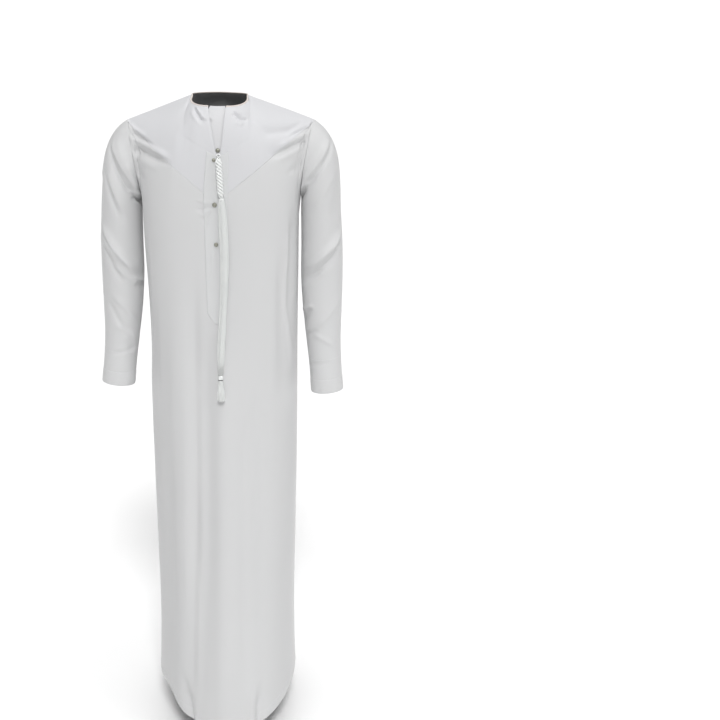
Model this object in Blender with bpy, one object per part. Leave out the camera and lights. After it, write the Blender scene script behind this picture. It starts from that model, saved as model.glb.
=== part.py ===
"""A long, collarless robe with a V yoke, long set-in sleeves and a corded tassel, as its wearer holds it.

Metres, +Z up. The front faces -Y and the wearer's left is at +X. The origin is the middle of the neck
opening, level with the points where the neckline meets the shoulder seams, and a "drop" is a distance
below that level. Every cloth panel is a wall whose outer face follows one smooth form, the body's or a
sleeve's, so panels that are sewn together share the points of their seam, less the gap between them.
"""

import math
from bisect import bisect_right
from collections import namedtuple
from functools import lru_cache

import bmesh
import bpy
import numpy as np
from mathutils import Vector

# Cloth
CLOTH = 0.0016
SEAM_GAP = 0.0003  # between pieces that are sewn edge to edge
ARMHOLE_GAP = 0.00036  # between a sleeve and the panels' armhole
LAY_GAP = 0.0004  # between a piece and the panel that it lies on

# Neck opening, shoulders and armholes
NECK_HALF_WIDTH = 0.066
SHOULDER_OUT = 0.220
SHOULDER_DROP = 0.062
UNDERARM_OUT = 0.1930
UNDERARM_DROP = 0.232
ARMHOLE_HOLLOW = 0.004  # how far the armhole is scooped towards the neck
LEFT_RAISED = 0.0085  # the left shoulder sits higher and further out
LEFT_OUT = 0.0035
RAISED_FROM = 0.02  # across, where the left shoulder's rise starts
RAISED_DROPS = (0.28, 0.09)  # where it ends below, and where it is whole

# The body below the chest
CHEST_DROP = 0.300
CHEST_PULL = 1.1  # how firmly the cloth above the chest takes up the slope below it
SLOPE_STEP = 0.01  # over which the slope below is taken
CORNER_SPREAD = 0.085  # along the top edge, over which its corners soften in the cloth below them
CORNER_FADE = 0.45  # part of the chest over which they do so
CORNER_SAMPLES = 7
HEM_DROP = 1.532  # at the side seams
HEM_LIFT = 0.038  # the hem's right front corner is turned up a little
HEM_LIFT_AT = -0.60
HEM_LIFT_SPREAD = 0.20

# The slit, its insert and the placket
SLIT_TOP_HALF = 0.0205
SLIT_LOW_HALF = 0.0068
SLIT_LOW_DROP = 0.116
SLIT_END_DROP = 0.131
SLIT_LEAN = 0.005  # the slit's lower end is nearer to the wearer's left
INSERT_HALF = 0.029
INSERT_TOP = 0.0035  # below the neck edge, where the yoke covers it
INSERT_RISE = 0.0070  # how much higher it stands between the slit's edges
INSERT_RISE_STEP = 0.002  # drop over which its lean above the neck edge is taken
INSERT_LENGTH = 0.155
INSERT_SET_BACK = 0.0044
INSERT_ROWS = 7
INSERT_SHOULDER = (0.0215, 0.0180)  # across, where it rises to its top between the edges

# The placket starts at the slit's end, and ends in a point below its shoulders
PLACKET_SHOULDER = 0.152  # parts of the front from the chest's level to the hem
PLACKET_TIP = 0.173
PLACKET_TIP_WIDTH = 0.08  # part of the full width

# The V seam runs straight from the armholes, just below the shoulder seams, to its tip on the front
V_TIP_DROP = 0.236
V_TURN = 0.35  # where it meets the armhole, as a turn from the shoulder

SHARP_FOLD = 0.35  # the cosine of the angle between two panels' ways out

# Neck binding, a rolled edge
BINDING_TALL = 0.0042
BINDING_THICK = 0.0034
BINDING_SIDES = 6

# Sleeves
SLEEVE_START = 0.272  # drop of the first whole ring below the armhole
CUFF_DROP = 0.7195
CUFF_SLANT = 0.004  # the inner edge of a cuff hangs lower than its outer edge
RIGHT_CUFF_IN = 0.0045  # the right arm is held a little nearer to the body, and bent a little more
RIGHT_CUFF_UP = 0.0105
CAP_ROUNDNESS = 1.10
CAP_LEAVE_OUT = (0.06, 0.90)  # how the cloth leaves the armhole, at the underarm and the shoulder
CAP_LEAVE_DOWN = (1.00, 0.52)
CAP_LEAVE_AHEAD = 0.12
HEM_BAND = 0.033
HEM_BAND_EXTRA = 0.0007
HEM_BAND_STEP = 0.0012  # down the sleeve, over which the band's extra thickness starts

# Where the columns of the cloth change from neckline to shoulder seam, and from there to armhole
AT_PLACKET = 0.044  # the placket's edge
AT_NECK = 0.32
AT_SHOULDER = 0.66
AT_V = AT_SHOULDER + (1 - AT_SHOULDER) * V_TURN / math.pi
MIDDLE_COLUMNS = 0.6  # what lies on the front is within these columns
NECK_COLUMNS = 4  # after the first one, which is as wide as half the placket
SHOULDER_COLUMNS = 4
ARMHOLE_COLUMNS = 7
YOKE_DROPS = (0.057, 0.093, SLIT_LOW_DROP, SLIT_END_DROP, 0.166, 0.201)  # of its rows at the slit
PLACKET_FIRST_ROW = 4  # of the yoke, at the slit's end
CHEST_ROWS = 4
PLACKET_ROWS = 4
SKIRT_ROWS = 18
BACK_CHEST_ROWS = 9
BACK_SKIRT_ROWS = 19
CAP_ROWS = 6
ARM_ROWS = 16

# Tassel: a loop, a twisted cord, a long thread bundle, a winding and a brush end
TASSEL_GAP = 0.0008  # between the tassel and what is behind it
LOOP_AT = (0.0070, 0.1290)  # across and drop
LOOP_RADIUS = 0.0037
LOOP_CORD = 0.0012
LOOP_SEGMENTS = 10
LOOP_SIDES = 6
CORD_TOP = (0.0078, 0.1375)
CORD_END = (0.0136, 0.2200)
CORD_RADIUS = 0.0078
CORD_GROOVE = 0.24  # part of the radius
CORD_PLIES = 3
CORD_TURNS = 4.1
CORD_RINGS = 37
CORD_SIDES = 12
CORD_TAPER = 0.10  # part of the cord's length at each end, where it narrows
CORD_ENDS = 0.70  # the size of its ends
BUNDLE_TOP = 0.2212
BUNDLE_END = 0.6480
STRANDS_WIDE = 7
STRANDS_DEEP = 3
STRAND_FILL = 0.76  # a strand's width as a part of its room
HEAD_TOP = 0.70  # the size of a bunch's head at its top and down its side
HEAD_SIDE = 0.95
WRAP_TOP = 0.6492
WRAP_END = 0.6590
WRAP_RIDGES = 3
WRAP_SIZE = 1.08  # times the size of the brush end's top
WRAP_GROOVE = 0.86  # the size between two ridges
WRAP_SIDES = 12
BRUSH_TOP = 0.6600
BRUSH_END = 0.7110
BRUSH_WIDE = 6
BRUSH_DEEP = 4

# One side of the body: which way it faces, its neckline, armhole and hem
Side = namedtuple("Side", "name facing neck_reach neck_drop neck_fall armhole_reach hem_dip")
FRONT = Side("front", -1, 0.062, 0.021, 0.50, 0.052, 0.070)
BACK = Side("back", 1, 0.052, 0.000, 1.00, 0.057, 0.030)
HEM_DIP_POWER = 1.5

# The body's horizontal sections. Fullness is 2 for an ellipse and more for a squarer section.
Section = namedtuple("Section", "drop half_right half_left front back full_right full_left full_back")
BODY = (
    Section(0.300, 0.1872, 0.1885, 0.130, 0.122, 2.75, 2.75, 2.75),
    Section(0.400, 0.1845, 0.1880, 0.136, 0.128, 2.65, 2.65, 2.65),
    Section(0.560, 0.1800, 0.1868, 0.148, 0.138, 2.45, 2.50, 2.50),
    Section(0.800, 0.1790, 0.1868, 0.169, 0.155, 2.25, 2.35, 2.35),
    Section(1.100, 0.1752, 0.1838, 0.197, 0.175, 2.05, 2.25, 2.25),
    Section(1.350, 0.1745, 0.1808, 0.218, 0.190, 1.90, 2.22, 2.18),
    Section(1.540, 0.1825, 0.1850, 0.234, 0.202, 1.78, 2.22, 2.14),
    Section(1.610, 0.1850, 0.1880, 0.238, 0.206, 1.74, 2.22, 2.14),
)

# The way in which the cloth leaves its top edge, along the half panel from the centre (0) to the side (1)
Leave = namedtuple("Leave", "along out ahead down")
FRONT_LEAVE = (
    Leave(0.000, 0.000, 0.140, 0.125),
    Leave(0.044, 0.045, 0.145, 0.125),
    Leave(0.160, 0.045, 0.200, 0.122),
    Leave(0.320, 0.055, 0.310, 0.122),
    Leave(0.490, 0.000, 0.275, 0.102),
    Leave(0.575, -0.045, 0.235, 0.072),
    Leave(0.660, -0.088, 0.160, 0.032),
    Leave(0.745, -0.078, 0.066, 0.060),
    Leave(0.830, -0.058, 0.010, 0.090),
    Leave(0.915, -0.026, -0.006, 0.095),
    Leave(1.000, 0.000, 0.000, 0.070),
)
BACK_LEAVE = (
    Leave(0.000, 0.000, 0.160, 0.125),
    Leave(0.160, 0.040, 0.220, 0.124),
    Leave(0.320, 0.055, 0.330, 0.128),
    Leave(0.490, 0.000, 0.270, 0.112),
    Leave(0.575, -0.045, 0.228, 0.078),
    Leave(0.660, -0.088, 0.160, 0.036),
    Leave(0.745, -0.078, 0.070, 0.062),
    Leave(0.830, -0.058, 0.014, 0.090),
    Leave(0.915, -0.026, -0.006, 0.095),
    Leave(1.000, 0.000, 0.000, 0.070),
)

# A sleeve's rings below the armhole, for the sleeve at +X; "ahead" is the middle's place along Y
Ring = namedtuple("Ring", "drop out ahead half_width half_depth")
SLEEVE = (
    Ring(0.272, 0.2430, 0.004, 0.0490, 0.060),
    Ring(0.350, 0.2460, 0.004, 0.0510, 0.057),
    Ring(0.440, 0.2470, 0.000, 0.0515, 0.054),
    Ring(0.520, 0.2495, -0.007, 0.0480, 0.050),
    Ring(0.600, 0.2540, -0.018, 0.0425, 0.044),
    Ring(0.660, 0.2590, -0.029, 0.0402, 0.040),
    Ring(0.7195, 0.2640, -0.041, 0.0405, 0.037),
)

# Creases run from one place to another over a panel, raised (+) or sunk (-). Across is X for the body,
# and for a sleeve the angle from its outer line, in degrees: 90 is its front, 180 its inner side.
Crease = namedtuple("Crease", "from_across from_drop to_across to_drop half_width height")
FRONT_CREASES = (
    Crease(-0.024, 0.50, -0.026, 1.20, 0.020, -0.0060),
    Crease(-0.026, 1.00, -0.052, 1.60, 0.022, -0.0060),
    Crease(0.034, 0.56, 0.042, 1.60, 0.024, 0.0065),
    Crease(-0.074, 0.50, -0.078, 1.55, 0.020, 0.0050),
    Crease(0.100, 0.46, 0.108, 1.58, 0.024, -0.0050),
    Crease(0.155, 0.34, 0.163, 0.76, 0.012, -0.0045),
    Crease(-0.158, 0.44, -0.160, 0.84, 0.011, -0.0035),
    Crease(-0.120, 0.80, -0.126, 1.50, 0.020, -0.0045),
    Crease(-0.092, 1.50, -0.062, 1.63, 0.010, -0.0050),
    Crease(0.100, 1.50, 0.098, 1.62, 0.009, -0.0045),
    Crease(-0.214, 0.090, -0.120, 0.150, 0.011, -0.0032),
    Crease(-0.202, 0.124, -0.132, 0.150, 0.009, -0.0028),
    Crease(0.188, 0.108, 0.115, 0.138, 0.012, -0.0036),
    Crease(0.090, 0.080, 0.195, 0.078, 0.011, -0.0028),
    Crease(-0.048, 0.026, -0.022, 0.066, 0.007, -0.0026),
    Crease(0.026, 0.046, 0.070, 0.058, 0.007, -0.0026),
)
BACK_CREASES = (
    Crease(-0.150, 0.13, -0.060, 0.30, 0.016, -0.0040),
    Crease(0.150, 0.12, 0.070, 0.29, 0.015, -0.0045),
    Crease(-0.010, 0.36, 0.004, 1.30, 0.022, -0.0060),
    Crease(-0.076, 0.44, -0.086, 1.55, 0.026, 0.0065),
    Crease(0.070, 0.50, 0.082, 1.55, 0.024, 0.0060),
    Crease(-0.132, 0.60, -0.130, 1.50, 0.018, -0.0055),
    Crease(0.128, 0.42, 0.136, 1.35, 0.019, -0.0050),
    Crease(0.022, 0.80, 0.034, 1.55, 0.016, 0.0045),
)
LEFT_SLEEVE_CREASES = (
    Crease(40, 0.100, 160, 0.250, 0.010, -0.0055),
    Crease(20, 0.330, 150, 0.425, 0.013, 0.0050),
    Crease(24, 0.368, 168, 0.452, 0.009, -0.0045),
    Crease(120, 0.500, 176, 0.560, 0.011, -0.0040),
    Crease(200, 0.300, 300, 0.430, 0.012, 0.0045),
    Crease(196, 0.380, 285, 0.330, 0.010, -0.0040),
    Crease(10, 0.180, 60, 0.300, 0.013, -0.0030),
)
RIGHT_SLEEVE_CREASES = (
    Crease(30, 0.120, 150, 0.262, 0.011, -0.0050),
    Crease(10, 0.330, 165, 0.440, 0.013, 0.0052),
    Crease(130, 0.460, 178, 0.478, 0.008, -0.0042),
    Crease(8, 0.190, 36, 0.270, 0.010, -0.0030),
    Crease(200, 0.310, 300, 0.440, 0.012, 0.0045),
    Crease(196, 0.400, 290, 0.345, 0.010, -0.0040),
    Crease(100, 0.560, 150, 0.640, 0.012, -0.0026),
)
SLEEVE_ARC = 0.00087  # metres round a sleeve for each degree
CREASE_END = 0.28  # part of a crease's length over which it rises or sinks
QUIET_TOP = 0.30  # above this part of the chest the creases die out, and so they do towards the side seams
QUIET_SIDE = 0.93
QUIET_CAP = (0.05, 0.45)  # parts of the sleeve's cap between which the creases start

# Buttons: how far down and aside each one lies
Stud = namedtuple("Stud", "name across drop radius")
STUDS = (
    Stud("button_1", 0.0045, 0.1165, 0.0050),
    Stud("button_2", -0.0040, 0.1391, 0.0042),
    Stud("button_3", -0.0020, 0.2410, 0.0055),
    Stud("button_4", 0.0010, 0.3340, 0.0050),
)
STUD_HEIGHT = 0.0028
STUD_PROFILE = ((0, 0.86), (0.30, 1), (0.62, 0.90), (0.90, 0.52), (1, 0.12))  # parts of height and radius
STUD_SEGMENTS = 12

# The outline of a hanging bunch down its length, from 0 at its top to 1 at its end
Bulge = namedtuple("Bulge", "part half_width half_depth across")
BUNDLE = (
    Bulge(0.00, 0.0052, 0.0036, 0.0138),
    Bulge(0.06, 0.0088, 0.0046, 0.0155),
    Bulge(0.28, 0.0110, 0.0052, 0.0200),
    Bulge(0.62, 0.0084, 0.0050, 0.0169),
    Bulge(0.85, 0.0094, 0.0050, 0.0116),
    Bulge(0.96, 0.0076, 0.0046, 0.0106),
    Bulge(1.00, 0.0054, 0.0040, 0.0104),
)
BUNDLE_HEAD = (0.000, 0.006, 0.018)
BUNDLE_STRANDS = (0.03, 0.06, 0.13, 0.24, 0.38, 0.54, 0.70, 0.85, 0.96, 1.00)
BRUSH = (
    Bulge(0.00, 0.0050, 0.0040, 0.0104),
    Bulge(0.20, 0.0060, 0.0044, 0.0106),
    Bulge(0.60, 0.0084, 0.0056, 0.0113),
    Bulge(1.00, 0.0100, 0.0062, 0.0119),
)
BRUSH_HEAD = (0.00, 0.06, 0.14)
BRUSH_STRANDS = (0.22, 0.60, 1.00)

SHADES = {
    "cloth": ((0.80, 0.80, 0.80, 1), 0.62, 0.0),
    "yoke": ((0.83, 0.83, 0.85, 1), 0.62, 0.0),
    "binding": ((0.84, 0.80, 0.76, 1), 0.70, 0.0),
    "placket": ((0.82, 0.83, 0.85, 1), 0.60, 0.0),
    "insert": ((0.90, 0.90, 0.92, 1), 0.60, 0.0),
    "cord": ((0.92, 0.92, 0.92, 1), 0.50, 0.0),
    "stud": ((0.42, 0.42, 0.38, 1), 0.35, 0.8),
}


@lru_cache(maxsize=None)
def column_of(rows, column):
    """One column of a table against the first one, with the slope of the smooth curve at each row."""
    places = [row[0] for row in rows]
    values = [getattr(row, column) for row in rows]
    return places, values, [float(slope) for slope in np.gradient(values, places)]


def read(rows, column, at):
    """Reads a column of a table at a place along its first column, on a smooth curve through its rows."""
    places, values, slopes = column_of(rows, column)
    at = min(max(at, places[0]), places[-1])
    i = min(bisect_right(places, at) - 1, len(rows) - 2)
    span = places[i + 1] - places[i]
    t = (at - places[i]) / span
    start = values[i] * (1 + 2 * t) * (1 - t) ** 2 + slopes[i] * span * t * (1 - t) ** 2
    end = values[i + 1] * t * t * (3 - 2 * t) + slopes[i + 1] * span * t * t * (t - 1)
    return start + end


def ramp(value, low, high):
    """Rises smoothly from 0 at low to 1 at high."""
    t = min(max((value - low) / (high - low), 0.0), 1.0)
    return t * t * (3 - 2 * t)


def blend(a, b, t):
    return a + (b - a) * t


def curve(start, leave, end, arrive, t):
    """A point on a smooth curve between two places, with the ways in which it leaves and arrives."""
    h = t * t * (3 - 2 * t)
    return start * (1 - h) + end * h + leave * (t * (1 - t) ** 2) + arrive * (t * t * (t - 1))


def relief(creases, across, drop, arc=1.0):
    """How far the creases raise the cloth at a place."""
    height = 0.0
    for c in creases:
        run = Vector(((c.to_across - c.from_across) * arc, c.to_drop - c.from_drop))
        here = Vector(((across - c.from_across) * arc, drop - c.from_drop))
        part = here.dot(run) / run.length_squared
        if 0 < part < 1:
            away = abs(run.cross(here)) / run.length / c.half_width
            fade = ramp(part, 0, CREASE_END) * ramp(part, 1, 1 - CREASE_END)
            height += c.height * math.exp(-away * away) * fade
    return height


# The body's form


def armhole(side, turn):
    """The armhole's edge at +X: turn 0 is at the shoulder and pi at the underarm."""
    low = (1 - math.cos(turn)) / 2
    out = blend(SHOULDER_OUT, UNDERARM_OUT, low) - ARMHOLE_HOLLOW * math.sin(turn)
    y = side.facing * side.armhole_reach * math.sin(turn)
    return Vector((out, y, -blend(SHOULDER_DROP, UNDERARM_DROP, low)))


def top_edge(side, along):
    """A half panel's top edge at +X: the neckline, the shoulder seam, then the armhole."""
    if along <= AT_NECK:
        turn = along / AT_NECK * math.pi / 2
        ahead = max(math.cos(turn), 0)
        x, y = NECK_HALF_WIDTH * math.sin(turn), side.facing * side.neck_reach * ahead
        return Vector((x, y, -side.neck_drop * ahead**side.neck_fall))
    if along <= AT_SHOULDER:
        part = (along - AT_NECK) / (AT_SHOULDER - AT_NECK)
        return Vector((blend(NECK_HALF_WIDTH, SHOULDER_OUT, part), 0, -SHOULDER_DROP * part))
    return armhole(side, (along - AT_SHOULDER) / (1 - AT_SHOULDER) * math.pi)


def leaving(side, along):
    """The way in which the cloth leaves its top edge at +X."""
    rows = FRONT_LEAVE if side is FRONT else BACK_LEAVE
    out, ahead, down = (read(rows, column, along) for column in ("out", "ahead", "down"))
    return Vector((out, side.facing * ahead, -down))


def section_point(side, along, drop):
    """A point of a horizontal section; along runs from -1 to 1, from the right side to the left."""
    turn = abs(along) * math.pi / 2
    fullness = "full_back" if side is BACK else "full_left" if along > 0 else "full_right"
    power = 2 / read(BODY, fullness, drop)
    x = read(BODY, "half_left" if along > 0 else "half_right", drop) * math.sin(turn) ** power
    y = read(BODY, side.name, drop) * max(math.cos(turn), 0) ** power
    return Vector((math.copysign(x, along), side.facing * y, -drop))


def hem_drop(side, along):
    dip = side.hem_dip * max(math.cos(along * math.pi / 2), 0) ** HEM_DIP_POWER
    lift = HEM_LIFT * math.exp(-(((along - HEM_LIFT_AT) / HEM_LIFT_SPREAD) ** 2)) if side is FRONT else 0
    return HEM_DROP + dip - lift * ramp(abs(along), 1, 0.9)


def edge_below(side, along, down):
    """The top edge as the cloth below it follows it: its corners soften further down."""
    spread = min(CORNER_SPREAD * ramp(down, 0, CORNER_FADE), 1 - abs(along))
    total = Vector()
    for share in steps(-1, 1, CORNER_SAMPLES - 1):
        beside = along + spread * share
        point = top_edge(side, abs(beside))
        total += Vector((math.copysign(point.x, beside), point.y, point.z))
    return total / CORNER_SAMPLES


def form(side, along, down):
    """The smooth form of the body without creases. Along runs from -1 to 1, and down is 0 at the top edge,
    1 at the chest's level and 2 at the hem."""
    if down > 1:
        return section_point(side, along, blend(CHEST_DROP, hem_drop(side, along), down - 1))
    start, leave = edge_below(side, along, down), leaving(side, abs(along))
    if along < 0:
        leave.x = -leave.x
    end = section_point(side, along, CHEST_DROP)
    slope = (section_point(side, along, CHEST_DROP + SLOPE_STEP) - end) / SLOPE_STEP
    return curve(start, leave, end, slope * (start.z - end.z) * CHEST_PULL, down)


def outward(side, along, down, step=0.004):
    """The unit way out of the form."""
    across = form(side, min(along + step, 1), down) - form(side, max(along - step, -1), down)
    fall = form(side, along, min(down + step, 2)) - form(side, along, max(down - step, 0))
    out = fall.cross(across) * -side.facing
    if abs(along) > 0.999:
        out.y = 0
    return out.normalized()


def settled(point):
    """Moves a point with the left shoulder, which sits higher than the right one."""
    share = ramp(point.x, RAISED_FROM, SHOULDER_OUT) * ramp(-point.z, *RAISED_DROPS)
    return point + Vector((LEFT_OUT * share, 0, LEFT_RAISED * share))


def body(side, along, down):
    """A point on the outer face of the cloth, with its creases."""
    point = form(side, along, down)
    rows = FRONT_CREASES if side is FRONT else BACK_CREASES
    height = relief(rows, point.x, -point.z) * ramp(down, 0, QUIET_TOP) * ramp(abs(along), 1, QUIET_SIDE)
    if height:
        point += outward(side, along, down) * height
    return settled(point)


def crossing(test):
    """Where a rising function of 0 to 1 passes 0."""
    low, high = 0.0, 1.0
    for _ in range(26):
        middle = (low + high) / 2
        low, high = (middle, high) if test(middle) < 0 else (low, middle)
    return (low + high) / 2


@lru_cache(maxsize=None)
def v_seam(along):
    """How far down a front column the V seam crosses it."""
    end = armhole(FRONT, V_TURN)

    def below(down):
        point = form(FRONT, along, down)
        return -point.z - blend(V_TIP_DROP, -end.z, min(point.x / end.x, 1))

    return 0.0 if along >= AT_SHOULDER else crossing(below)


def front_spot(across, drop):
    """The front's outer face at a place given as seen from the front, and the way out of it."""
    hand = math.copysign(1, across)

    def down_at(along):
        return crossing(lambda part: -form(FRONT, along, part * 2).z - drop) * 2

    def beyond(part):
        return form(FRONT, part * MIDDLE_COLUMNS, down_at(part * MIDDLE_COLUMNS)).x - abs(across)

    along = hand * MIDDLE_COLUMNS * crossing(beyond)
    down = down_at(along)
    return body(FRONT, along, down), outward(FRONT, along, down)


def steps(low, high, count):
    """Even steps from low to high, both included."""
    return [blend(low, high, i / count) for i in range(count + 1)]


def mirrored(half):
    return [-a for a in reversed(half[1:])] + half


TOP_COLUMNS = (
    [0] + steps(AT_PLACKET, AT_NECK, NECK_COLUMNS)[:-1] + steps(AT_NECK, AT_SHOULDER, SHOULDER_COLUMNS)
)
FRONT_COLUMNS = TOP_COLUMNS[:-1] + steps(AT_V, 1, ARMHOLE_COLUMNS)
BACK_COLUMNS = TOP_COLUMNS[:-1] + steps(AT_SHOULDER, 1, ARMHOLE_COLUMNS)
PLACKET_STEPS = steps(0, PLACKET_SHOULDER, PLACKET_ROWS)[1:] + [PLACKET_TIP]
SKIRT_STEPS = PLACKET_STEPS + steps(PLACKET_TIP, 1, SKIRT_ROWS)[1:]

YOKE_ROWS = (
    [0] + [crossing(lambda part: -form(FRONT, 0, v_seam(0) * part).z - drop) for drop in YOKE_DROPS] + [1]
)

# A sheet is a grid of points on the outer face. Its rows run down, and its columns run to the left as
# seen from outside.
Sheet = namedtuple("Sheet", "name points shade round_it")


def front_sheet():
    places = mirrored(FRONT_COLUMNS)
    grid = []
    for part in steps(0, 1, CHEST_ROWS):
        grid.append([body(FRONT, a, blend(v_seam(abs(a)), 1, part)) for a in places])
    for part in SKIRT_STEPS:
        grid.append([body(FRONT, a, 1 + part) for a in places])
    return Sheet("front_panel", grid, "cloth", False)


def slit_half(drop):
    """Half the width of the slit, which closes at its lower end."""
    top = blend(SLIT_TOP_HALF, SLIT_LOW_HALF, (drop - FRONT.neck_drop) / (SLIT_LOW_DROP - FRONT.neck_drop))
    return top if drop < SLIT_LOW_DROP else SLIT_LOW_HALF * ramp(drop, SLIT_END_DROP, SLIT_LOW_DROP)


def slit_middle(drop):
    return SLIT_LEAN * ramp(drop, FRONT.neck_drop, SLIT_LOW_DROP) * ramp(drop, V_TIP_DROP, SLIT_END_DROP)


def yoke_sheet(hand):
    """One half of the V yoke: hand is 1 for the wearer's left and -1 for the right."""
    shoulder, v_end = armhole(FRONT, 0), armhole(FRONT, V_TURN)
    grid = []
    for part in YOKE_ROWS:
        row = []
        drop = -form(FRONT, 0, v_seam(0) * part).z
        for a in TOP_COLUMNS[:-1]:
            point = body(FRONT, a * hand, v_seam(a) * part)
            point.x += (hand * slit_half(drop) + slit_middle(drop)) * max(1 - a / AT_NECK, 0)
            row.append(point)
        edge = blend(shoulder, v_end, part)
        row.append(settled(Vector((edge.x * hand, edge.y, edge.z))))
        grid.append(row if hand > 0 else row[::-1])
    return Sheet("yoke_left" if hand > 0 else "yoke_right", grid, "yoke", False)


def back_sheet():
    places = mirrored(BACK_COLUMNS)[::-1]
    grid = [[body(BACK, a, part) for a in places] for part in steps(0, 1, BACK_CHEST_ROWS)]
    grid += [[body(BACK, a, part) for a in places] for part in steps(1, 2, BACK_SKIRT_ROWS)[1:]]
    return Sheet("back_panel", grid, "cloth", False)


# Sleeves


def sleeve_ring(turn, drop):
    out = read(SLEEVE, "out", drop) + read(SLEEVE, "half_width", drop) * math.cos(turn)
    y = read(SLEEVE, "ahead", drop) - read(SLEEVE, "half_depth", drop) * math.sin(turn)
    slant = CUFF_SLANT * ramp(drop, SLEEVE_START, CUFF_DROP) * math.cos(turn)
    return Vector((out, y, slant - drop))


def armhole_at(turn):
    """The whole armhole: turn 0 is the shoulder, a half turn is the underarm, the front comes first."""
    if turn <= math.pi:
        return armhole(FRONT, turn)
    return armhole(BACK, 2 * math.pi - turn)


def sleeve_form(turn, down):
    """The sleeve at +X without creases: down is 0 at the armhole, 1 at its first ring, 2 at the cuff."""
    if down > 1:
        return sleeve_ring(turn, blend(SLEEVE_START, CUFF_DROP, down - 1))
    start, end = armhole_at(turn), sleeve_ring(turn, SLEEVE_START)
    length = (end - start).length
    high = abs(math.cos(turn / 2))
    out, fall = (blend(low, top, high) for low, top in (CAP_LEAVE_OUT, CAP_LEAVE_DOWN))
    leave = Vector((out, -CAP_LEAVE_AHEAD * math.sin(turn), -fall)).normalized()
    slope = (sleeve_ring(turn, SLEEVE_START + SLOPE_STEP) - end) / SLOPE_STEP
    return curve(start, leave * length * CAP_ROUNDNESS, end, slope * length, down)


def sleeve(creases, turn, down):
    point = sleeve_form(turn, down)
    step = 0.01
    around = sleeve_form(min(turn + step, 2 * math.pi), down) - sleeve_form(max(turn - step, 0), down)
    fall = sleeve_form(turn, min(down + step, 2)) - sleeve_form(turn, max(down - step, 0))
    out = around.cross(fall).normalized()
    quiet = ramp(down, *QUIET_CAP)
    height = 0.0
    for whole_turn in (0, 360):
        height += relief(creases, math.degrees(turn) - whole_turn, -point.z, SLEEVE_ARC)
    return point + out * height * quiet, out


def held(point, hand):
    """Moves a point of a sleeve with its arm."""
    share = ramp(-point.z, SLEEVE_START, CUFF_DROP) if hand < 0 else 0
    return point + Vector((-RIGHT_CUFF_IN * share, 0, RIGHT_CUFF_UP * share))


def armhole_turns():
    """The turns at which the body's columns meet the armhole, all the way round."""
    front, back = (
        [(a - AT_SHOULDER) / (1 - AT_SHOULDER) * math.pi for a in places[len(TOP_COLUMNS) - 1 :]]
        for places in (FRONT_COLUMNS, BACK_COLUMNS)
    )
    return [0.0] + front + [2 * math.pi - turn for turn in reversed(back[1:-1])]


def band_rows():
    """The rows down an arm: even ones, then two close together where the hem band starts, and the cuff."""
    band = 1 - HEM_BAND / (CUFF_DROP - SLEEVE_START)
    step = HEM_BAND_STEP / (CUFF_DROP - SLEEVE_START)
    return [i / ARM_ROWS * band for i in range(1, ARM_ROWS)] + [band - step, band, 1.0]


def sleeve_sheet(hand):
    """One sleeve: hand is 1 for the wearer's left and -1 for the right."""
    creases = LEFT_SLEEVE_CREASES if hand > 0 else RIGHT_SLEEVE_CREASES
    turns = armhole_turns()
    downs = steps(0, 1, CAP_ROWS) + [1 + part for part in band_rows()]
    band_start = len(downs) - 2
    grid = []
    for r, down in enumerate(downs):
        row = []
        for turn in turns:
            point, out = sleeve(creases, turn, down)
            if r >= band_start:
                point += out * HEM_BAND_EXTRA
            point = held(point, hand)
            row.append(settled(Vector((point.x * hand, point.y, point.z))))
        grid.append(row[::-1] if hand > 0 else row)
    return Sheet("sleeve_left" if hand > 0 else "sleeve_right", grid, "cloth", True)


# Walls


def key(point):
    return tuple(round(c * 1e5) for c in point)


def quads(sheet):
    """The corner indices of a sheet's quads, seen from outside against the clock."""
    rows, cols = len(sheet.points), len(sheet.points[0])
    for r in range(rows - 1):
        for c in range(cols if sheet.round_it else cols - 1):
            d = (c + 1) % cols
            yield (r, c), (r + 1, c), (r + 1, d), (r, d)


def own_ways(sheet):
    """The unit way out of a sheet at each of its points."""
    ways = [[Vector() for _ in row] for row in sheet.points]
    for corners in quads(sheet):
        a, b, c, d = (sheet.points[r][k] for r, k in corners)
        normal = (c - a).cross(d - b)
        for r, k in corners:
            ways[r][k] += normal
    if sheet.name in ("front_panel", "back_panel"):
        for row in ways:
            row[0].y = row[-1].y = 0
    return [[way.normalized() for way in row] for row in ways]


def ways_out(sheets):
    """For each sheet's points the way out of it. Sheets that are sewn together share it along their seam,
    lengthened to keep the wall's thickness, but where they meet in a sharp fold each keeps its own."""
    own = [own_ways(sheet) for sheet in sheets]
    met = {}
    for sheet, ways in zip(sheets, own):
        for row, points in zip(ways, sheet.points):
            for way, point in zip(row, points):
                met.setdefault(key(point), []).append(way)
    result = []
    for sheet, ways in zip(sheets, own):
        out = []
        for row, points in zip(ways, sheet.points):
            line = []
            for mine, point in zip(row, points):
                agreeing = (way for way in met[key(point)] if way.dot(mine) > SHARP_FOLD)
                ours = sum(agreeing, Vector()).normalized()
                line.append(ours / ours.dot(mine))
            out.append(line)
        result.append(out)
    return result


def drawn_in(point, run, out, inside):
    """Moves a point of an edge into its own cloth, square to the edge, by half the seam gap."""
    aside = run.cross(out).normalized()
    return aside * math.copysign(SEAM_GAP / 2, aside.dot(inside - point))


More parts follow.
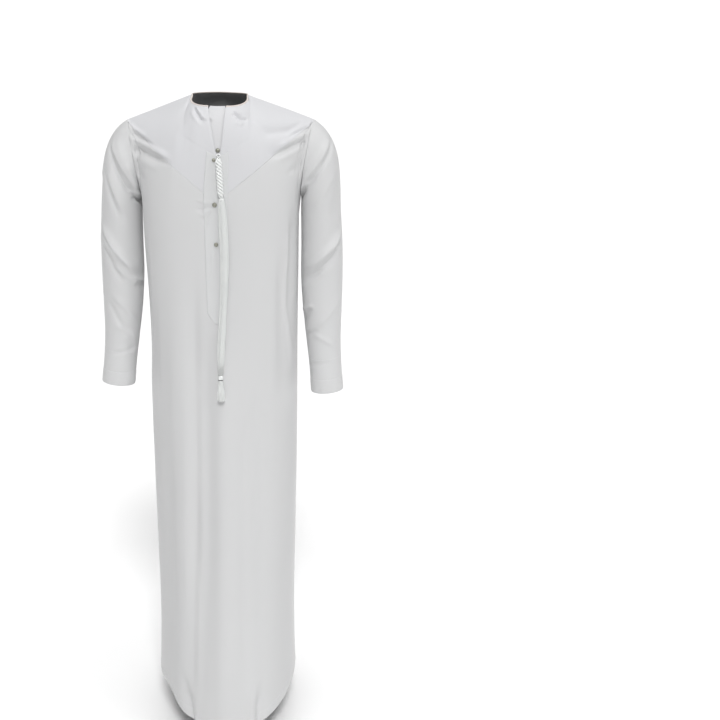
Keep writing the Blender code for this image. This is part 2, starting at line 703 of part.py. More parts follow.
def parted(sheet, ways):
    """The sheet's points with its edges drawn in."""
    points = sheet.points
    grid = [[p.copy() for p in row] for row in points]
    if sheet.round_it:
        return grid
    last_row, last_col = len(points) - 1, len(points[0]) - 1
    for r, inside in ((0, 1), (last_row, last_row - 1)):
        for c, point in enumerate(points[r]):
            run = points[r][min(c + 1, last_col)] - points[r][max(c - 1, 0)]
            grid[r][c] += drawn_in(point, run, ways[r][c], points[inside][c])
    for c, inside in ((0, 1), (last_col, last_col - 1)):
        for r, row in enumerate(points):
            run = points[min(r + 1, last_row)][c] - points[max(r - 1, 0)][c]
            grid[r][c] += drawn_in(row[c], run, ways[r][c], row[inside])
    return grid


def make_object(name, shade, corners, faces, smooth_angle=40):
    mesh = bpy.data.meshes.new(name)
    mesh.from_pydata([tuple(c) for c in corners], [], faces)
    piece = bpy.data.objects.new(name, mesh)
    bpy.context.scene.collection.objects.link(piece)
    shape = bmesh.new()
    shape.from_mesh(mesh)
    bmesh.ops.recalc_face_normals(shape, faces=shape.faces)
    shape.to_mesh(mesh)
    shape.free()
    for polygon in mesh.polygons:
        polygon.use_smooth = True
    mesh.set_sharp_from_angle(angle=math.radians(smooth_angle))
    mesh.materials.append(material(name, shade))
    return piece


def material(name, shade):
    color, roughness, metallic = SHADES[shade]
    made = bpy.data.materials.new(name)
    made.use_nodes = True
    shader = made.node_tree.nodes["Principled BSDF"]
    shader.inputs["Base Color"].default_value = color
    shader.inputs["Roughness"].default_value = roughness
    shader.inputs["Metallic"].default_value = metallic
    made.diffuse_color = color
    return made


def wall(name, shade, outer, inner, round_it=False):
    """A closed wall between two grids of points."""
    rows, cols = len(outer), len(outer[0])
    corners = [p for row in outer for p in row] + [p for row in inner for p in row]

    def at(r, c, layer):
        return layer * rows * cols + r * cols + c % cols

    faces = []
    for r in range(rows - 1):
        for c in range(cols if round_it else cols - 1):
            for ring in (((r, c), (r + 1, c), (r + 1, c + 1)), ((r, c), (r + 1, c + 1), (r, c + 1))):
                faces.append([at(*p, 0) for p in ring])
                faces.append([at(*p, 1) for p in reversed(ring)])
    for c in range(cols if round_it else cols - 1):
        faces.append([at(0, c, 0), at(0, c + 1, 0), at(0, c + 1, 1), at(0, c, 1)])
        faces.append([at(rows - 1, c + 1, 0), at(rows - 1, c, 0), at(rows - 1, c, 1), at(rows - 1, c + 1, 1)])
    if not round_it:
        for r in range(rows - 1):
            faces.append([at(r + 1, 0, 0), at(r, 0, 0), at(r, 0, 1), at(r + 1, 0, 1)])
            last = cols - 1
            faces.append([at(r, last, 0), at(r + 1, last, 0), at(r + 1, last, 1), at(r, last, 1)])
    return make_object(name, shade, corners, faces)


def sew(sheets, ways):
    """Makes each sheet a wall, with its edges apart from its neighbours'."""
    for sheet, way in zip(sheets, ways):
        outer = parted(sheet, way)
        if sheet.round_it:
            hand = math.copysign(1, sheet.points[0][0].x)
            outer[0] = [p + Vector((hand * ARMHOLE_GAP, 0, 0)) for p in outer[0]]
        inner = [[p - w * CLOTH for p, w in zip(row, line)] for row, line in zip(outer, way)]
        wall(sheet.name, sheet.shade, outer, inner, sheet.round_it)


# What lies on, in or along the panels


def tube(name, shade, rings, round_it=False):
    """A closed body through rings of points, flat at both ends unless the last ring meets the first."""
    count = len(rings[0])
    corners = [p for ring in rings for p in ring]
    faces = []
    for r in range(len(rings) if round_it else len(rings) - 1):
        low = (r + 1) % len(rings) * count
        for c in range(count):
            d = (c + 1) % count
            faces.append([r * count + c, r * count + d, low + d, low + c])
    if not round_it:
        faces.append(list(range(count)))
        faces.append([(len(rings) - 1) * count + c for c in range(count)])
    return make_object(name, shade, corners, faces)


def ellipse(middle, one, other, count):
    """A ring of points; one and other are its half axes."""
    turns = [i / count * 2 * math.pi for i in range(count)]
    return [middle + one * math.cos(turn) + other * math.sin(turn) for turn in turns]


def neckline(sheets, ways):
    """The cloth's edge round the neck, from the slit round to the slit: each point, the point below it
    and the way out."""
    path = []
    count = NECK_COLUMNS + 2
    for name in ("yoke_left", "back_panel", "yoke_right"):
        points, outs = sheets[name].points, ways[name]
        middle = len(points[0]) // 2
        span = {
            "yoke_left": range(count),
            "back_panel": range(middle - count + 2, middle + count - 1),
            "yoke_right": range(len(points[0]) - count, len(points[0])),
        }[name]
        path += [(points[0][c], points[1][c], outs[0][c].normalized()) for c in span]
    return path


def build_binding(sheets, ways):
    """The rolled edge round the neck."""
    path = neckline(sheets, ways)
    rings = []
    for i, (edge, below, out) in enumerate(path):
        ahead = (path[min(i + 1, len(path) - 1)][0] - path[max(i - 1, 0)][0]).normalized()
        up = edge - below
        up = (up - ahead * up.dot(ahead)).normalized()
        middle = edge + up * (BINDING_TALL / 2 + SEAM_GAP) - out * CLOTH / 2
        across = ahead.cross(up)
        rings.append(ellipse(middle, up * BINDING_TALL / 2, across * BINDING_THICK / 2, BINDING_SIDES))
    tube("neck_binding", "binding", rings)


def insert_spot(across, part):
    """A place on the front at which the insert hangs behind the slit, and the way out. Its top stands a
    little above the neck edge there."""
    along = math.asin(abs(across) / NECK_HALF_WIDTH) / (math.pi / 2) * AT_NECK
    edge = -top_edge(FRONT, along).z
    rise = INSERT_RISE * ramp(abs(across), *INSERT_SHOULDER) * max(1 - part * INSERT_ROWS, 0)
    drop = edge + INSERT_TOP - rise + INSERT_LENGTH * part
    point, out = front_spot(across, max(drop, edge))
    if drop < edge:
        lower = front_spot(across, edge + INSERT_RISE_STEP)[0]
        point += (point - lower) * (edge - drop) / (point.z - lower.z)
    return point, out


def build_insert():
    """The bright strip that shows in the slit, hung inside the yoke."""
    outer, inner = [], []
    for part in steps(0, 1, INSERT_ROWS):
        line_out, line_in = [], []
        for across in mirrored([0, INSERT_SHOULDER[1], INSERT_SHOULDER[0], INSERT_HALF]):
            point, out = insert_spot(across, part)
            line_out.append(point - out * INSERT_SET_BACK)
            line_in.append(point - out * (INSERT_SET_BACK + CLOTH))
        outer.append(line_out)
        inner.append(line_in)
    wall("slit_insert", "insert", outer, inner)


def build_placket(sheets, ways):
    """The strip over the front opening, made from the points of the yoke and the front panel."""
    rows = []
    left, right, front = (sheets[name].points for name in ("yoke_left", "yoke_right", "front_panel"))
    left_out, right_out, front_out = (ways[name] for name in ("yoke_left", "yoke_right", "front_panel"))
    for r in range(PLACKET_FIRST_ROW, len(YOKE_ROWS) - 1):
        centre = (left[r][0], left_out[r][0])
        rows.append([(right[r][-2], right_out[r][-2]), centre, (left[r][1], left_out[r][1])])
    middle = len(front[0]) // 2
    for r in range(CHEST_ROWS + len(PLACKET_STEPS) + 1):
        rows.append([(front[r][middle + c], front_out[r][middle + c]) for c in (-1, 0, 1)])
    centre, centre_out = rows[-1][1]
    rows[-1] = [
        (blend(centre, point, PLACKET_TIP_WIDTH), blend(centre_out, out, PLACKET_TIP_WIDTH))
        for point, out in rows[-1]
    ]
    outer = [[p + w.normalized() * (LAY_GAP + CLOTH) for p, w in row] for row in rows]
    inner = [[p + w.normalized() * LAY_GAP for p, w in row] for row in rows]
    wall("placket", "placket", outer, inner)


def build_stud(stud):
    """A round domed button. The first lies on the insert, the others on the placket."""
    point, out = front_spot(stud.across, stud.drop)
    base = LAY_GAP - INSERT_SET_BACK if stud.drop < SLIT_END_DROP else LAY_GAP * 2 + CLOTH
    side = Vector((1, 0, 0))
    side = (side - out * side.dot(out)).normalized()
    up = out.cross(side)
    rings = []
    for height, size in STUD_PROFILE:
        middle = point + out * (base + STUD_HEIGHT * height)
        rings.append(ellipse(middle, side * stud.radius * size, up * stud.radius * size, STUD_SEGMENTS))
    tube(stud.name, "stud", rings)


@lru_cache(maxsize=None)
def hang(across, drop, half_depth):
    """Where the middle of a hanging thing lies in front of the cloth, with the ways aside and out there."""
    point, out = front_spot(across, drop)
    aside = Vector((1, 0, 0))
    aside = (aside - out * aside.dot(out)).normalized()
    return point + out * (LAY_GAP + CLOTH + TASSEL_GAP + half_depth), aside, out


def build_loop():
    """The small loop that holds the cord."""
    middle, aside, out = hang(*LOOP_AT, LOOP_CORD)
    rings = []
    for spoke in ellipse(Vector(), aside, out.cross(aside), LOOP_SEGMENTS):
        rings.append(ellipse(middle + spoke * LOOP_RADIUS, spoke * LOOP_CORD, out * LOOP_CORD, LOOP_SIDES))
    tube("cord_loop", "cord", rings, round_it=True)


def build_cord():
    """A cord of three plies, twisted."""
    rings = []
    for part in steps(0, 1, CORD_RINGS - 1):
        across, drop = blend(CORD_TOP[0], CORD_END[0], part), blend(CORD_TOP[1], CORD_END[1], part)
        middle, aside, out = hang(across, drop, CORD_RADIUS)
        size_here = blend(CORD_ENDS, 1, ramp(part, 0, CORD_TAPER) * ramp(part, 1, 1 - CORD_TAPER))
        slim = CORD_RADIUS * size_here
        ring = []
        for k in range(CORD_SIDES):
            turn = k / CORD_SIDES * 2 * math.pi
            ply = abs(math.cos((turn + part * CORD_TURNS * 2 * math.pi) * CORD_PLIES / 2))
            size = slim * (1 - CORD_GROOVE * (1 - ply))
            ring.append(middle + aside * math.cos(turn) * size + out * math.sin(turn) * size)
        rings.append(ring)
    tube("tassel_cord", "cord", rings)


def oval(u, v):
    """A place in a square, each side from -1 to 1, moved into a circle."""
    return u * math.sqrt(1 - v * v / 2), v * math.sqrt(1 - u * u / 2)


def bunch_spot(outline, top, end, part, u, v):
    """A place in a hanging bunch: u is across it and v through it, each from -1 to 1."""
    across, half_depth = read(outline, "across", part), read(outline, "half_depth", part)
    middle, aside, out = hang(across, blend(top, end, part), half_depth)
    return middle + aside * u * read(outline, "half_width", part) + out * v * half_depth


def build_bunch(name, outline, top, end, head_parts, strand_parts, wide, deep):
    """A head with separate strands hanging from its underside, one from each cell of a lattice."""
    corners, faces = [], []
    places = [(i, j) for i in range(wide + 1) for j in range(deep + 1)]
    lattice = {(i, j): oval(i / wide * 2 - 1, j / deep * 2 - 1) for i, j in places}
    rim = [(i, 0) for i in range(wide)] + [(wide, j) for j in range(deep)]
    rim += [(wide - i, deep) for i in range(wide)] + [(0, deep - j) for j in range(deep)]

    def add(part, spots, size):
        middle = [sum(c) / len(spots) for c in zip(*spots)]
        first = len(corners)
        for spot in spots:
            u, v = (blend(m, c, size) for m, c in zip(middle, spot))
            corners.append(bunch_spot(outline, top, end, part, u, v))
        return list(range(first, len(corners)))

    def band(upper, lower):
        count = len(upper)
        for k in range(count):
            n = (k + 1) % count
            faces.append([upper[k], upper[n], lower[n], lower[k]])

    under = dict(zip(lattice, add(head_parts[-1], list(lattice.values()), 1)))
    above = add(head_parts[0], [lattice[spot] for spot in rim], HEAD_TOP)
    faces.append(above)
    for part in head_parts[1:-1]:
        ring = add(part, [lattice[spot] for spot in rim], HEAD_SIDE)
        band(above, ring)
        above = ring
    band(above, [under[spot] for spot in rim])
    for i in range(wide):
        for j in range(deep):
            cell = [(i, j), (i + 1, j), (i + 1, j + 1), (i, j + 1)]
            above = [under[spot] for spot in cell]
            for part in (head_parts[-1],) + strand_parts:
                ring = add(part, [lattice[spot] for spot in cell], STRAND_FILL)
                band(above, ring)
                above = ring
            faces.append(above)
    make_object(name, "cord", corners, faces)


def build_wrap():
    """The winding between the bundle and the brush end."""
    half_width, half_depth = BRUSH[0].half_width * WRAP_SIZE, BRUSH[0].half_depth * WRAP_SIZE
    rings = []
    for i in range(WRAP_RIDGES * 2 + 1):
        size = 1 if i % 2 else WRAP_GROOVE
        drop = blend(WRAP_TOP, WRAP_END, i / (WRAP_RIDGES * 2))
        middle, aside, out = hang(BRUSH[0].across, drop, half_depth)
        rings.append(ellipse(middle, aside * half_width * size, out * half_depth * size, WRAP_SIDES))
    tube("tassel_wrap", "cord", rings)


def clear_scene():
    for piece in list(bpy.data.objects):
        bpy.data.objects.remove(piece, do_unlink=True)


def main():
    clear_scene()
    sheets = [front_sheet(), yoke_sheet(1), yoke_sheet(-1), back_sheet(), sleeve_sheet(1), sleeve_sheet(-1)]
    ways = ways_out(sheets)
    sew(sheets, ways)
    named_sheets = {sheet.name: sheet for sheet in sheets}
    named_ways = {sheet.name: way for sheet, way in zip(sheets, ways)}
    build_binding(named_sheets, named_ways)
    build_insert()
    build_placket(named_sheets, named_ways)
    for stud in STUDS:
        build_stud(stud)
    build_loop()
    build_cord()
    bundle = (BUNDLE, BUNDLE_TOP, BUNDLE_END, BUNDLE_HEAD, BUNDLE_STRANDS)
    build_bunch("tassel_threads", *bundle, STRANDS_WIDE, STRANDS_DEEP)
    build_wrap()
    build_bunch("tassel_end", BRUSH, BRUSH_TOP, BRUSH_END, BRUSH_HEAD, BRUSH_STRANDS, BRUSH_WIDE, BRUSH_DEEP)


main()
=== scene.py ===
"""A long white collarless robe with a V yoke, set-in sleeves, a slit neck and a corded tassel, dressed on
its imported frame. Each piece is made by its own operator, from the sizes and colours in the sidebar.

Metres, +Z up. The front faces -Y and the wearer's left is at +X. A "drop" is a distance below the origin,
the middle of the neck opening. A sheet of cloth is a grid of points on its outer face. Its rows run down,
and seen from outside its columns run from left to right.
"""

import math
from collections import namedtuple
from contextlib import contextmanager

import bmesh
import bpy
import numpy as np
from bpy.props import FloatProperty, FloatVectorProperty, IntProperty, PointerProperty
from mathutils import Matrix, Vector


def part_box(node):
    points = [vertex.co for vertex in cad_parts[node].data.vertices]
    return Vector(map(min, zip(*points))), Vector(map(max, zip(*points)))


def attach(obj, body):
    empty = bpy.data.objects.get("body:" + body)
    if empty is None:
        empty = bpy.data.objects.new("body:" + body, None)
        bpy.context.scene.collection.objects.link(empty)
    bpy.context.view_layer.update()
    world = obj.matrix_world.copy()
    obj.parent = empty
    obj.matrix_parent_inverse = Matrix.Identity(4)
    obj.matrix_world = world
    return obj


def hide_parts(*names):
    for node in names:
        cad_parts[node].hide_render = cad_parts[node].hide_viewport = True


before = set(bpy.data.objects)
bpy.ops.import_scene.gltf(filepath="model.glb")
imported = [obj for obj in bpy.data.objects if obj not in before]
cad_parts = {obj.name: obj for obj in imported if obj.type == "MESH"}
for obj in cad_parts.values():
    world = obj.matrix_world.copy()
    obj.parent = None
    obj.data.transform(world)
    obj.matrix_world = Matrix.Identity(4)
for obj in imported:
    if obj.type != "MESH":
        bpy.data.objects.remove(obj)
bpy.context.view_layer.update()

bl_info = {
    "name": "Thobe Robe",
    "version": (1, 0, 0),
    "blender": (4, 5, 0),
    "location": "View3D > Sidebar > Thobe",
    "description": "Makes a long collarless robe with a V yoke and a corded tassel, piece by piece",
    "category": "Add Mesh",
}

# The frame's cloth: how thick its walls are, and the gap to what lies on a panel
WALL = 0.0016
LAY_GAP = 0.0004

# Neck opening, shoulders and armholes
NECK_HALF_WIDTH = 0.066
SHOULDER_OUT = 0.220
SHOULDER_DROP = 0.062
UNDERARM_OUT = 0.1930
UNDERARM_DROP = 0.232
ARMHOLE_HOLLOW = 0.004
LEFT_RAISED = 0.0085
LEFT_OUT = 0.0035
RAISED_FROM = 0.02
RAISED_DROPS = (0.28, 0.09)

# The body below the chest
CHEST_DROP = 0.300
CHEST_PULL = 1.1
SLOPE_STEP = 0.01
CORNER_SPREAD = 0.085
CORNER_FADE = 0.45
CORNER_SAMPLES = 7
HEM_DROP = 1.532
HEM_LIFT = 0.038
HEM_LIFT_AT = -0.60
HEM_LIFT_SPREAD = 0.20
HEM_LIFT_TO = 0.9  # along a half panel, from where it fades
HEM_DIP_POWER = 1.5
SKIRT_LENGTH = 1.25  # for the share of it that the hem's band takes

# The slit, its insert and the placket
SLIT_TOP_HALF = 0.0205
SLIT_LOW_HALF = 0.0068
SLIT_LOW_DROP = 0.116
SLIT_END_DROP = 0.131
SLIT_LEAN = 0.005
INSERT_HALF = 0.029
INSERT_TOP = 0.0035
INSERT_RISE = 0.0070
INSERT_RISE_PART = 1 / 7
INSERT_RISE_STEP = 0.002
INSERT_SHOULDER = (0.0215, 0.0180)
INSERT_LENGTH = 0.155
INSERT_SET_BACK = 0.0044
INSERT_MIDDLE_COLUMNS = (8, 4)  # up to its raised part's edge, and over that edge
INSERT_COLUMNS = (0.0240, 0.0265, INSERT_HALF)
INSERT_ROWS = 56
SLIT_SIDE = 1e-9  # along the top edge, to tell the slit's left side from its right
PLACKET_SHOULDER = 0.152
PLACKET_TIP = 0.173
PLACKET_TIP_WIDTH = 0.08
PLACKET_COLUMNS = 16
PLACKET_ROWS = (30, 18, 56, 8)  # on the yoke, above the chest, below it, and in the tip

# The V seam
V_TIP_DROP = 0.236
V_TURN = 0.35
YOKE_POINT = 0.004

YOKES = ("yoke_left", "yoke_right")

# Sleeves
SLEEVE_START = 0.272
CUFF_DROP = 0.7195
CUFF_SLANT = 0.004
RIGHT_CUFF_IN = 0.0045
RIGHT_CUFF_UP = 0.0105
CAP_ROUNDNESS = 1.10
CAP_LEAVE_OUT = (0.06, 0.90)
CAP_LEAVE_DOWN = (1.00, 0.52)
CAP_LEAVE_AHEAD = 0.12

# Where a half panel's top edge changes from placket to neckline, to shoulder seam, and to armhole
AT_PLACKET = 0.044
AT_NECK = 0.32
AT_SHOULDER = 0.66
AT_V = AT_SHOULDER + (1 - AT_SHOULDER) * V_TURN / math.pi
AT_SIDE_SEAM = 0.999  # from here the cloth faces straight out
SPOTS_TO = 0.6  # the part of a half panel on which small things lie

# Tassel
TASSEL_GAP = 0.0008
LOOP_AT = (0.0070, 0.1290)
LOOP_RADIUS = 0.0037
LOOP_CORD = 0.0012
LOOP_PINCHES = ((0.35, 0.62), (0.75, 0.7))  # how far below its middle, in terms of its radius, and how much
LOOP_KNOT = (0.0017, 0.0009)
LOOP_KNOT_DOWN = 1.08
LOOP_KNOT_TURN = (math.pi / 2 - 0.25, 0.2, 0)
CORD_TOP = (0.0078, 0.1375)
CORD_END = (0.0136, 0.2200)
CORD_RADIUS = 0.0078
CORD_PLIES = 3
PLY_RADIUS = 0.45  # in terms of the cord's, as is its place
PLY_OFF = 0.55
PLY_GROOVES = 0.90  # how far out every third point of a ply lies, in terms of the others
PLY_STEPS = 150
CORD_SLIM = 0.72  # the size of its ends
CORD_SLIM_TO = (0.10, 0.92)  # between these parts of its length it has its full size
BUNDLE_TOP = 0.2212
BUNDLE_END = 0.6480
BUNDLE_ROOT = 0.008  # where its strands start, as a part of its length
WRAP_TOP = 0.6485
WRAP_END = 0.6590
WRAP_TURNS = 6
WRAP_OVER = 1.08  # its size in terms of the brush end's top
WRAP_THREAD = 0.96  # in terms of its room
WRAP_STEPS = 36  # in each turn
WRAP_CORE_OVER = 0.0018  # how much longer its core is
WRAP_CORE_ROUND = 0.0006
# A thin near-black ring under the winding, painted shade of the gap between the winding and the flared end:
# its size, cord and height
SHADE_RING_RADIUS = 0.98  # in terms of the winding's
SHADE_RING_CORD = 0.0007
SHADE_RING_HEIGHT = 1.3
BRUSH_TOP = 0.6600
BRUSH_END = 0.7110
BRUSH_ROOT = 0.06
BRUSH_UNEVEN = 0.05  # how much shorter a strand can be, as a part of its length


def table(kind, *rows):
    """Rows of numbers, with the names that a kind of row gives its columns."""
    return tuple(kind(*row) for row in rows)


# One side of the body: which way it faces, its neckline, armhole and hem
Side = namedtuple("Side", "name facing neck_reach neck_drop neck_fall armhole_reach hem_dip")
FRONT = Side("front", -1, 0.062, 0.021, 0.50, 0.052, 0.070)
BACK = Side("back", 1, 0.052, 0.000, 1.00, 0.057, 0.030)

# The body's horizontal sections. Fullness is 2 for an ellipse and more for a squarer section.
Section = namedtuple("Section", "drop half_right half_left front back full_right full_left full_back")
BODY = table(
    Section,
    (0.3, 0.1872, 0.1885, 0.13, 0.122, 2.75, 2.75, 2.75),
    (0.4, 0.1845, 0.188, 0.136, 0.128, 2.65, 2.65, 2.65),
    (0.56, 0.18, 0.1868, 0.148, 0.138, 2.45, 2.5, 2.5),
    (0.8, 0.179, 0.1868, 0.169, 0.155, 2.25, 2.35, 2.35),
    (1.1, 0.1752, 0.1838, 0.197, 0.175, 2.05, 2.25, 2.25),
    (1.35, 0.1745, 0.1808, 0.218, 0.19, 1.9, 2.22, 2.18),
    (1.54, 0.1825, 0.185, 0.234, 0.202, 1.78, 2.22, 2.14),
    (1.61, 0.185, 0.188, 0.238, 0.206, 1.74, 2.22, 2.14),
)

# The way in which the cloth leaves its top edge, along the half panel from the centre (0) to the side (1)
Leave = namedtuple("Leave", "along out ahead down")
FRONT_LEAVE = table(
    Leave,
    (0.0, 0.0, 0.14, 0.125),
    (0.044, 0.045, 0.145, 0.125),
    (0.16, 0.045, 0.2, 0.122),
    (0.32, 0.055, 0.31, 0.122),
    (0.49, 0.0, 0.275, 0.102),
    (0.575, -0.045, 0.235, 0.072),
    (0.66, -0.088, 0.16, 0.032),
    (0.745, -0.078, 0.066, 0.06),
    (0.83, -0.058, 0.01, 0.09),
    (0.915, -0.026, -0.006, 0.095),
    (1.0, 0.0, 0.0, 0.07),
)
BACK_LEAVE = table(
    Leave,
    (0.0, 0.0, 0.16, 0.125),
    (0.16, 0.04, 0.22, 0.124),
    (0.32, 0.055, 0.33, 0.128),
    (0.49, 0.0, 0.27, 0.112),
    (0.575, -0.045, 0.228, 0.078),
    (0.66, -0.088, 0.16, 0.036),
    (0.745, -0.078, 0.07, 0.062),
    (0.83, -0.058, 0.014, 0.09),
    (0.915, -0.026, -0.006, 0.095),
    (1.0, 0.0, 0.0, 0.07),
)

# A sleeve's rings below the armhole, for the sleeve at +X; "ahead" is the middle's place along Y
Ring = namedtuple("Ring", "drop out ahead half_width half_depth")
SLEEVE = table(
    Ring,
    (0.272, 0.243, 0.004, 0.049, 0.06),
    (0.35, 0.246, 0.004, 0.051, 0.057),
    (0.44, 0.247, 0.0, 0.0515, 0.054),
    (0.52, 0.2495, -0.007, 0.048, 0.05),
    (0.6, 0.254, -0.018, 0.0425, 0.044),
    (0.66, 0.259, -0.029, 0.0402, 0.04),
    (0.7195, 0.264, -0.041, 0.0405, 0.037),
)

# Creases run from one place to another over a panel, raised (+) or sunk (-). Across is X for the body,
# and for a sleeve the angle from its outer line, in degrees: 90 is its front, 180 its inner side.
# A steep crease is narrower on one side. With across to the right and drop downwards, that is on the right
# hand of someone who goes along it.
Crease = namedtuple(
    "Crease", "from_across from_drop to_across to_drop half_width height steep", defaults=(0.0,)
)
FRONT_CREASES = table(
    Crease,
    (-0.024, 0.5, -0.026, 1.2, 0.02, -0.006),
    (-0.026, 1.0, -0.052, 1.6, 0.022, -0.006),
    (0.034, 0.56, 0.042, 1.6, 0.024, 0.0065),
    (-0.074, 0.5, -0.078, 1.55, 0.02, 0.005),
    (0.1, 0.46, 0.108, 1.58, 0.024, -0.005),
    (0.155, 0.34, 0.163, 0.76, 0.012, -0.0045),
    (-0.158, 0.44, -0.16, 0.84, 0.011, -0.0035),
    (-0.12, 0.8, -0.126, 1.5, 0.02, -0.0045),
    (-0.092, 1.5, -0.062, 1.63, 0.01, -0.005),
    (0.1, 1.5, 0.098, 1.62, 0.009, -0.0045),
    (-0.214, 0.09, -0.12, 0.15, 0.011, -0.0032),
    (-0.202, 0.124, -0.132, 0.15, 0.009, -0.0028),
    (0.188, 0.108, 0.115, 0.138, 0.012, -0.0036),
    (0.09, 0.08, 0.195, 0.078, 0.011, -0.0028),
    (-0.048, 0.026, -0.022, 0.066, 0.007, -0.0026),
    (0.026, 0.046, 0.07, 0.058, 0.007, -0.0026),
)
BACK_CREASES = table(
    Crease,
    (-0.15, 0.13, -0.06, 0.3, 0.016, -0.004),
    (0.15, 0.12, 0.07, 0.29, 0.015, -0.0045),
    (-0.01, 0.36, 0.004, 1.3, 0.022, -0.006),
    (-0.076, 0.44, -0.086, 1.55, 0.026, 0.0065),
    (0.07, 0.5, 0.082, 1.55, 0.024, 0.006),
    (-0.132, 0.6, -0.13, 1.5, 0.018, -0.0055),
    (0.128, 0.42, 0.136, 1.35, 0.019, -0.005),
    (0.022, 0.8, 0.034, 1.55, 0.016, 0.0045),
)
LEFT_SLEEVE_CREASES = table(
    Crease,
    (40, 0.1, 160, 0.25, 0.01, -0.0055),
    (20, 0.33, 150, 0.425, 0.013, 0.005),
    (24, 0.368, 168, 0.452, 0.009, -0.0045),
    (120, 0.5, 176, 0.56, 0.011, -0.004),
    (200, 0.3, 300, 0.43, 0.012, 0.0045),
    (196, 0.38, 285, 0.33, 0.01, -0.004),
    (10, 0.18, 60, 0.3, 0.013, -0.003),
)
RIGHT_SLEEVE_CREASES = table(
    Crease,
    (30, 0.12, 150, 0.262, 0.011, -0.005),
    (10, 0.33, 165, 0.44, 0.013, 0.0052),
    (130, 0.46, 178, 0.478, 0.008, -0.0042),
    (8, 0.19, 36, 0.27, 0.01, -0.003),
    (200, 0.31, 300, 0.44, 0.012, 0.0045),
    (196, 0.4, 290, 0.345, 0.01, -0.004),
    (100, 0.56, 150, 0.64, 0.012, -0.0026),
)
SLEEVE_ARC = 0.00087  # metres round a sleeve for each degree
CREASE_ENDS = (0.28, 0.72)  # between these parts of its length a crease has its full height

# The same for the finer creases, which run up to the seams
FINE_FRONT_CREASES = table(
    Crease,
    (-0.046, 0.022, -0.015, 0.06, 0.0032, -0.0034),
    (-0.04, 0.021, -0.013, 0.048, 0.0036, 0.003, 0.4),
    (-0.029, 0.047, -0.008, 0.052, 0.0026, -0.0024),
    (-0.056, 0.03, -0.022, 0.068, 0.005, 0.0018),
    (0.02, 0.034, 0.047, 0.05, 0.003, -0.0034),
    (0.04, 0.047, 0.068, 0.05, 0.0028, -0.0026),
    (0.023, 0.029, 0.05, 0.042, 0.0034, 0.0026, 0.4),
    (0.03, 0.053, 0.056, 0.06, 0.0046, 0.0018),
    (0.056, 0.034, 0.12, 0.086, 0.008, -0.002),
    (0.106, 0.084, 0.172, 0.084, 0.008, -0.0024),
    (0.15, 0.087, 0.2, 0.064, 0.007, -0.0022),
    (-0.23, 0.08, -0.145, 0.114, 0.0046, -0.004),
    (-0.226, 0.07, -0.165, 0.096, 0.006, 0.003, 0.4),
    (-0.228, 0.096, -0.098, 0.142, 0.0085, 0.005, 0.5),
    (-0.22, 0.118, -0.1, 0.154, 0.0056, -0.0052),
    (-0.212, 0.144, -0.13, 0.164, 0.009, 0.0024),
    (-0.206, 0.16, -0.17, 0.2, 0.006, -0.0024),
    (0.228, 0.07, 0.16, 0.098, 0.0046, -0.0036),
    (0.222, 0.083, 0.135, 0.12, 0.008, 0.0046),
    (0.216, 0.101, 0.125, 0.136, 0.0054, -0.0046),
    (0.208, 0.118, 0.13, 0.148, 0.008, 0.003),
    (0.2, 0.15, 0.16, 0.18, 0.007, -0.0024),
    (-0.046, 0.234, -0.003, 0.237, 0.003, 0.0018, 0.4),
    (-0.048, 0.256, -0.003, 0.241, 0.0036, -0.0026),
    (-0.038, 0.274, -0.002, 0.244, 0.0034, 0.0018),
    (-0.03, 0.3, -0.004, 0.247, 0.0034, -0.0018),
    (0.001, 0.338, 0.0, 0.44, 0.0026, -0.0024),
    (-0.007, 0.338, -0.009, 0.42, 0.003, 0.0014),
    (0.01, 0.344, 0.011, 0.42, 0.003, 0.0012),
    (0.179, 0.24, 0.173, 0.54, 0.0075, -0.006),
    (0.167, 0.28, 0.162, 0.54, 0.004, 0.003),
    (0.162, 0.47, 0.181, 0.68, 0.004, 0.0026),
    (0.15, 0.3, 0.15, 0.8, 0.011, -0.0026),
    (-0.176, 0.34, -0.172, 0.72, 0.0065, -0.0046),
    (-0.056, 1.24, -0.052, 0.36, 0.02, -0.008, 0.4),
    (-0.082, 1.74, -0.054, 0.9, 0.019, -0.0076, 0.4),
    (0.008, 0.42, 0.012, 1.76, 0.022, 0.008, 0.1),
    (-0.104, 0.42, -0.11, 1.66, 0.019, 0.005),
    (0.062, 0.54, 0.068, 1.6, 0.015, -0.0028),
    (-0.168, 0.36, -0.166, 1.6, 0.01, 0.0024),
    (-0.1, 1.44, -0.066, 1.66, 0.01, -0.0046),
    (-0.08, 1.44, -0.06, 1.66, 0.011, 0.0036),
    (0.106, 1.46, 0.101, 1.66, 0.01, -0.0042),
    (0.086, 1.46, 0.088, 1.66, 0.011, 0.003),
)
FINE_BACK_CREASES = table(
    Crease,
    (-0.206, 0.11, -0.12, 0.19, 0.008, 0.004, 0.4),
    (-0.204, 0.134, -0.11, 0.21, 0.006, -0.0036),
    (0.206, 0.1, 0.11, 0.18, 0.008, 0.004),
    (0.204, 0.124, 0.12, 0.2, 0.006, -0.0036),
    (-0.03, 0.56, -0.036, 1.6, 0.012, 0.0048),
    (-0.008, 0.42, 0.002, 1.3, 0.011, -0.0044),
    (0.104, 0.6, 0.112, 1.6, 0.012, 0.0046),
    (0.132, 0.46, 0.138, 1.4, 0.009, -0.0036),
    (-0.108, 0.8, -0.112, 1.6, 0.011, 0.0042),
    (-0.134, 0.56, -0.132, 1.54, 0.009, -0.0036),
    (0.052, 0.8, 0.056, 1.6, 0.009, -0.004),
)
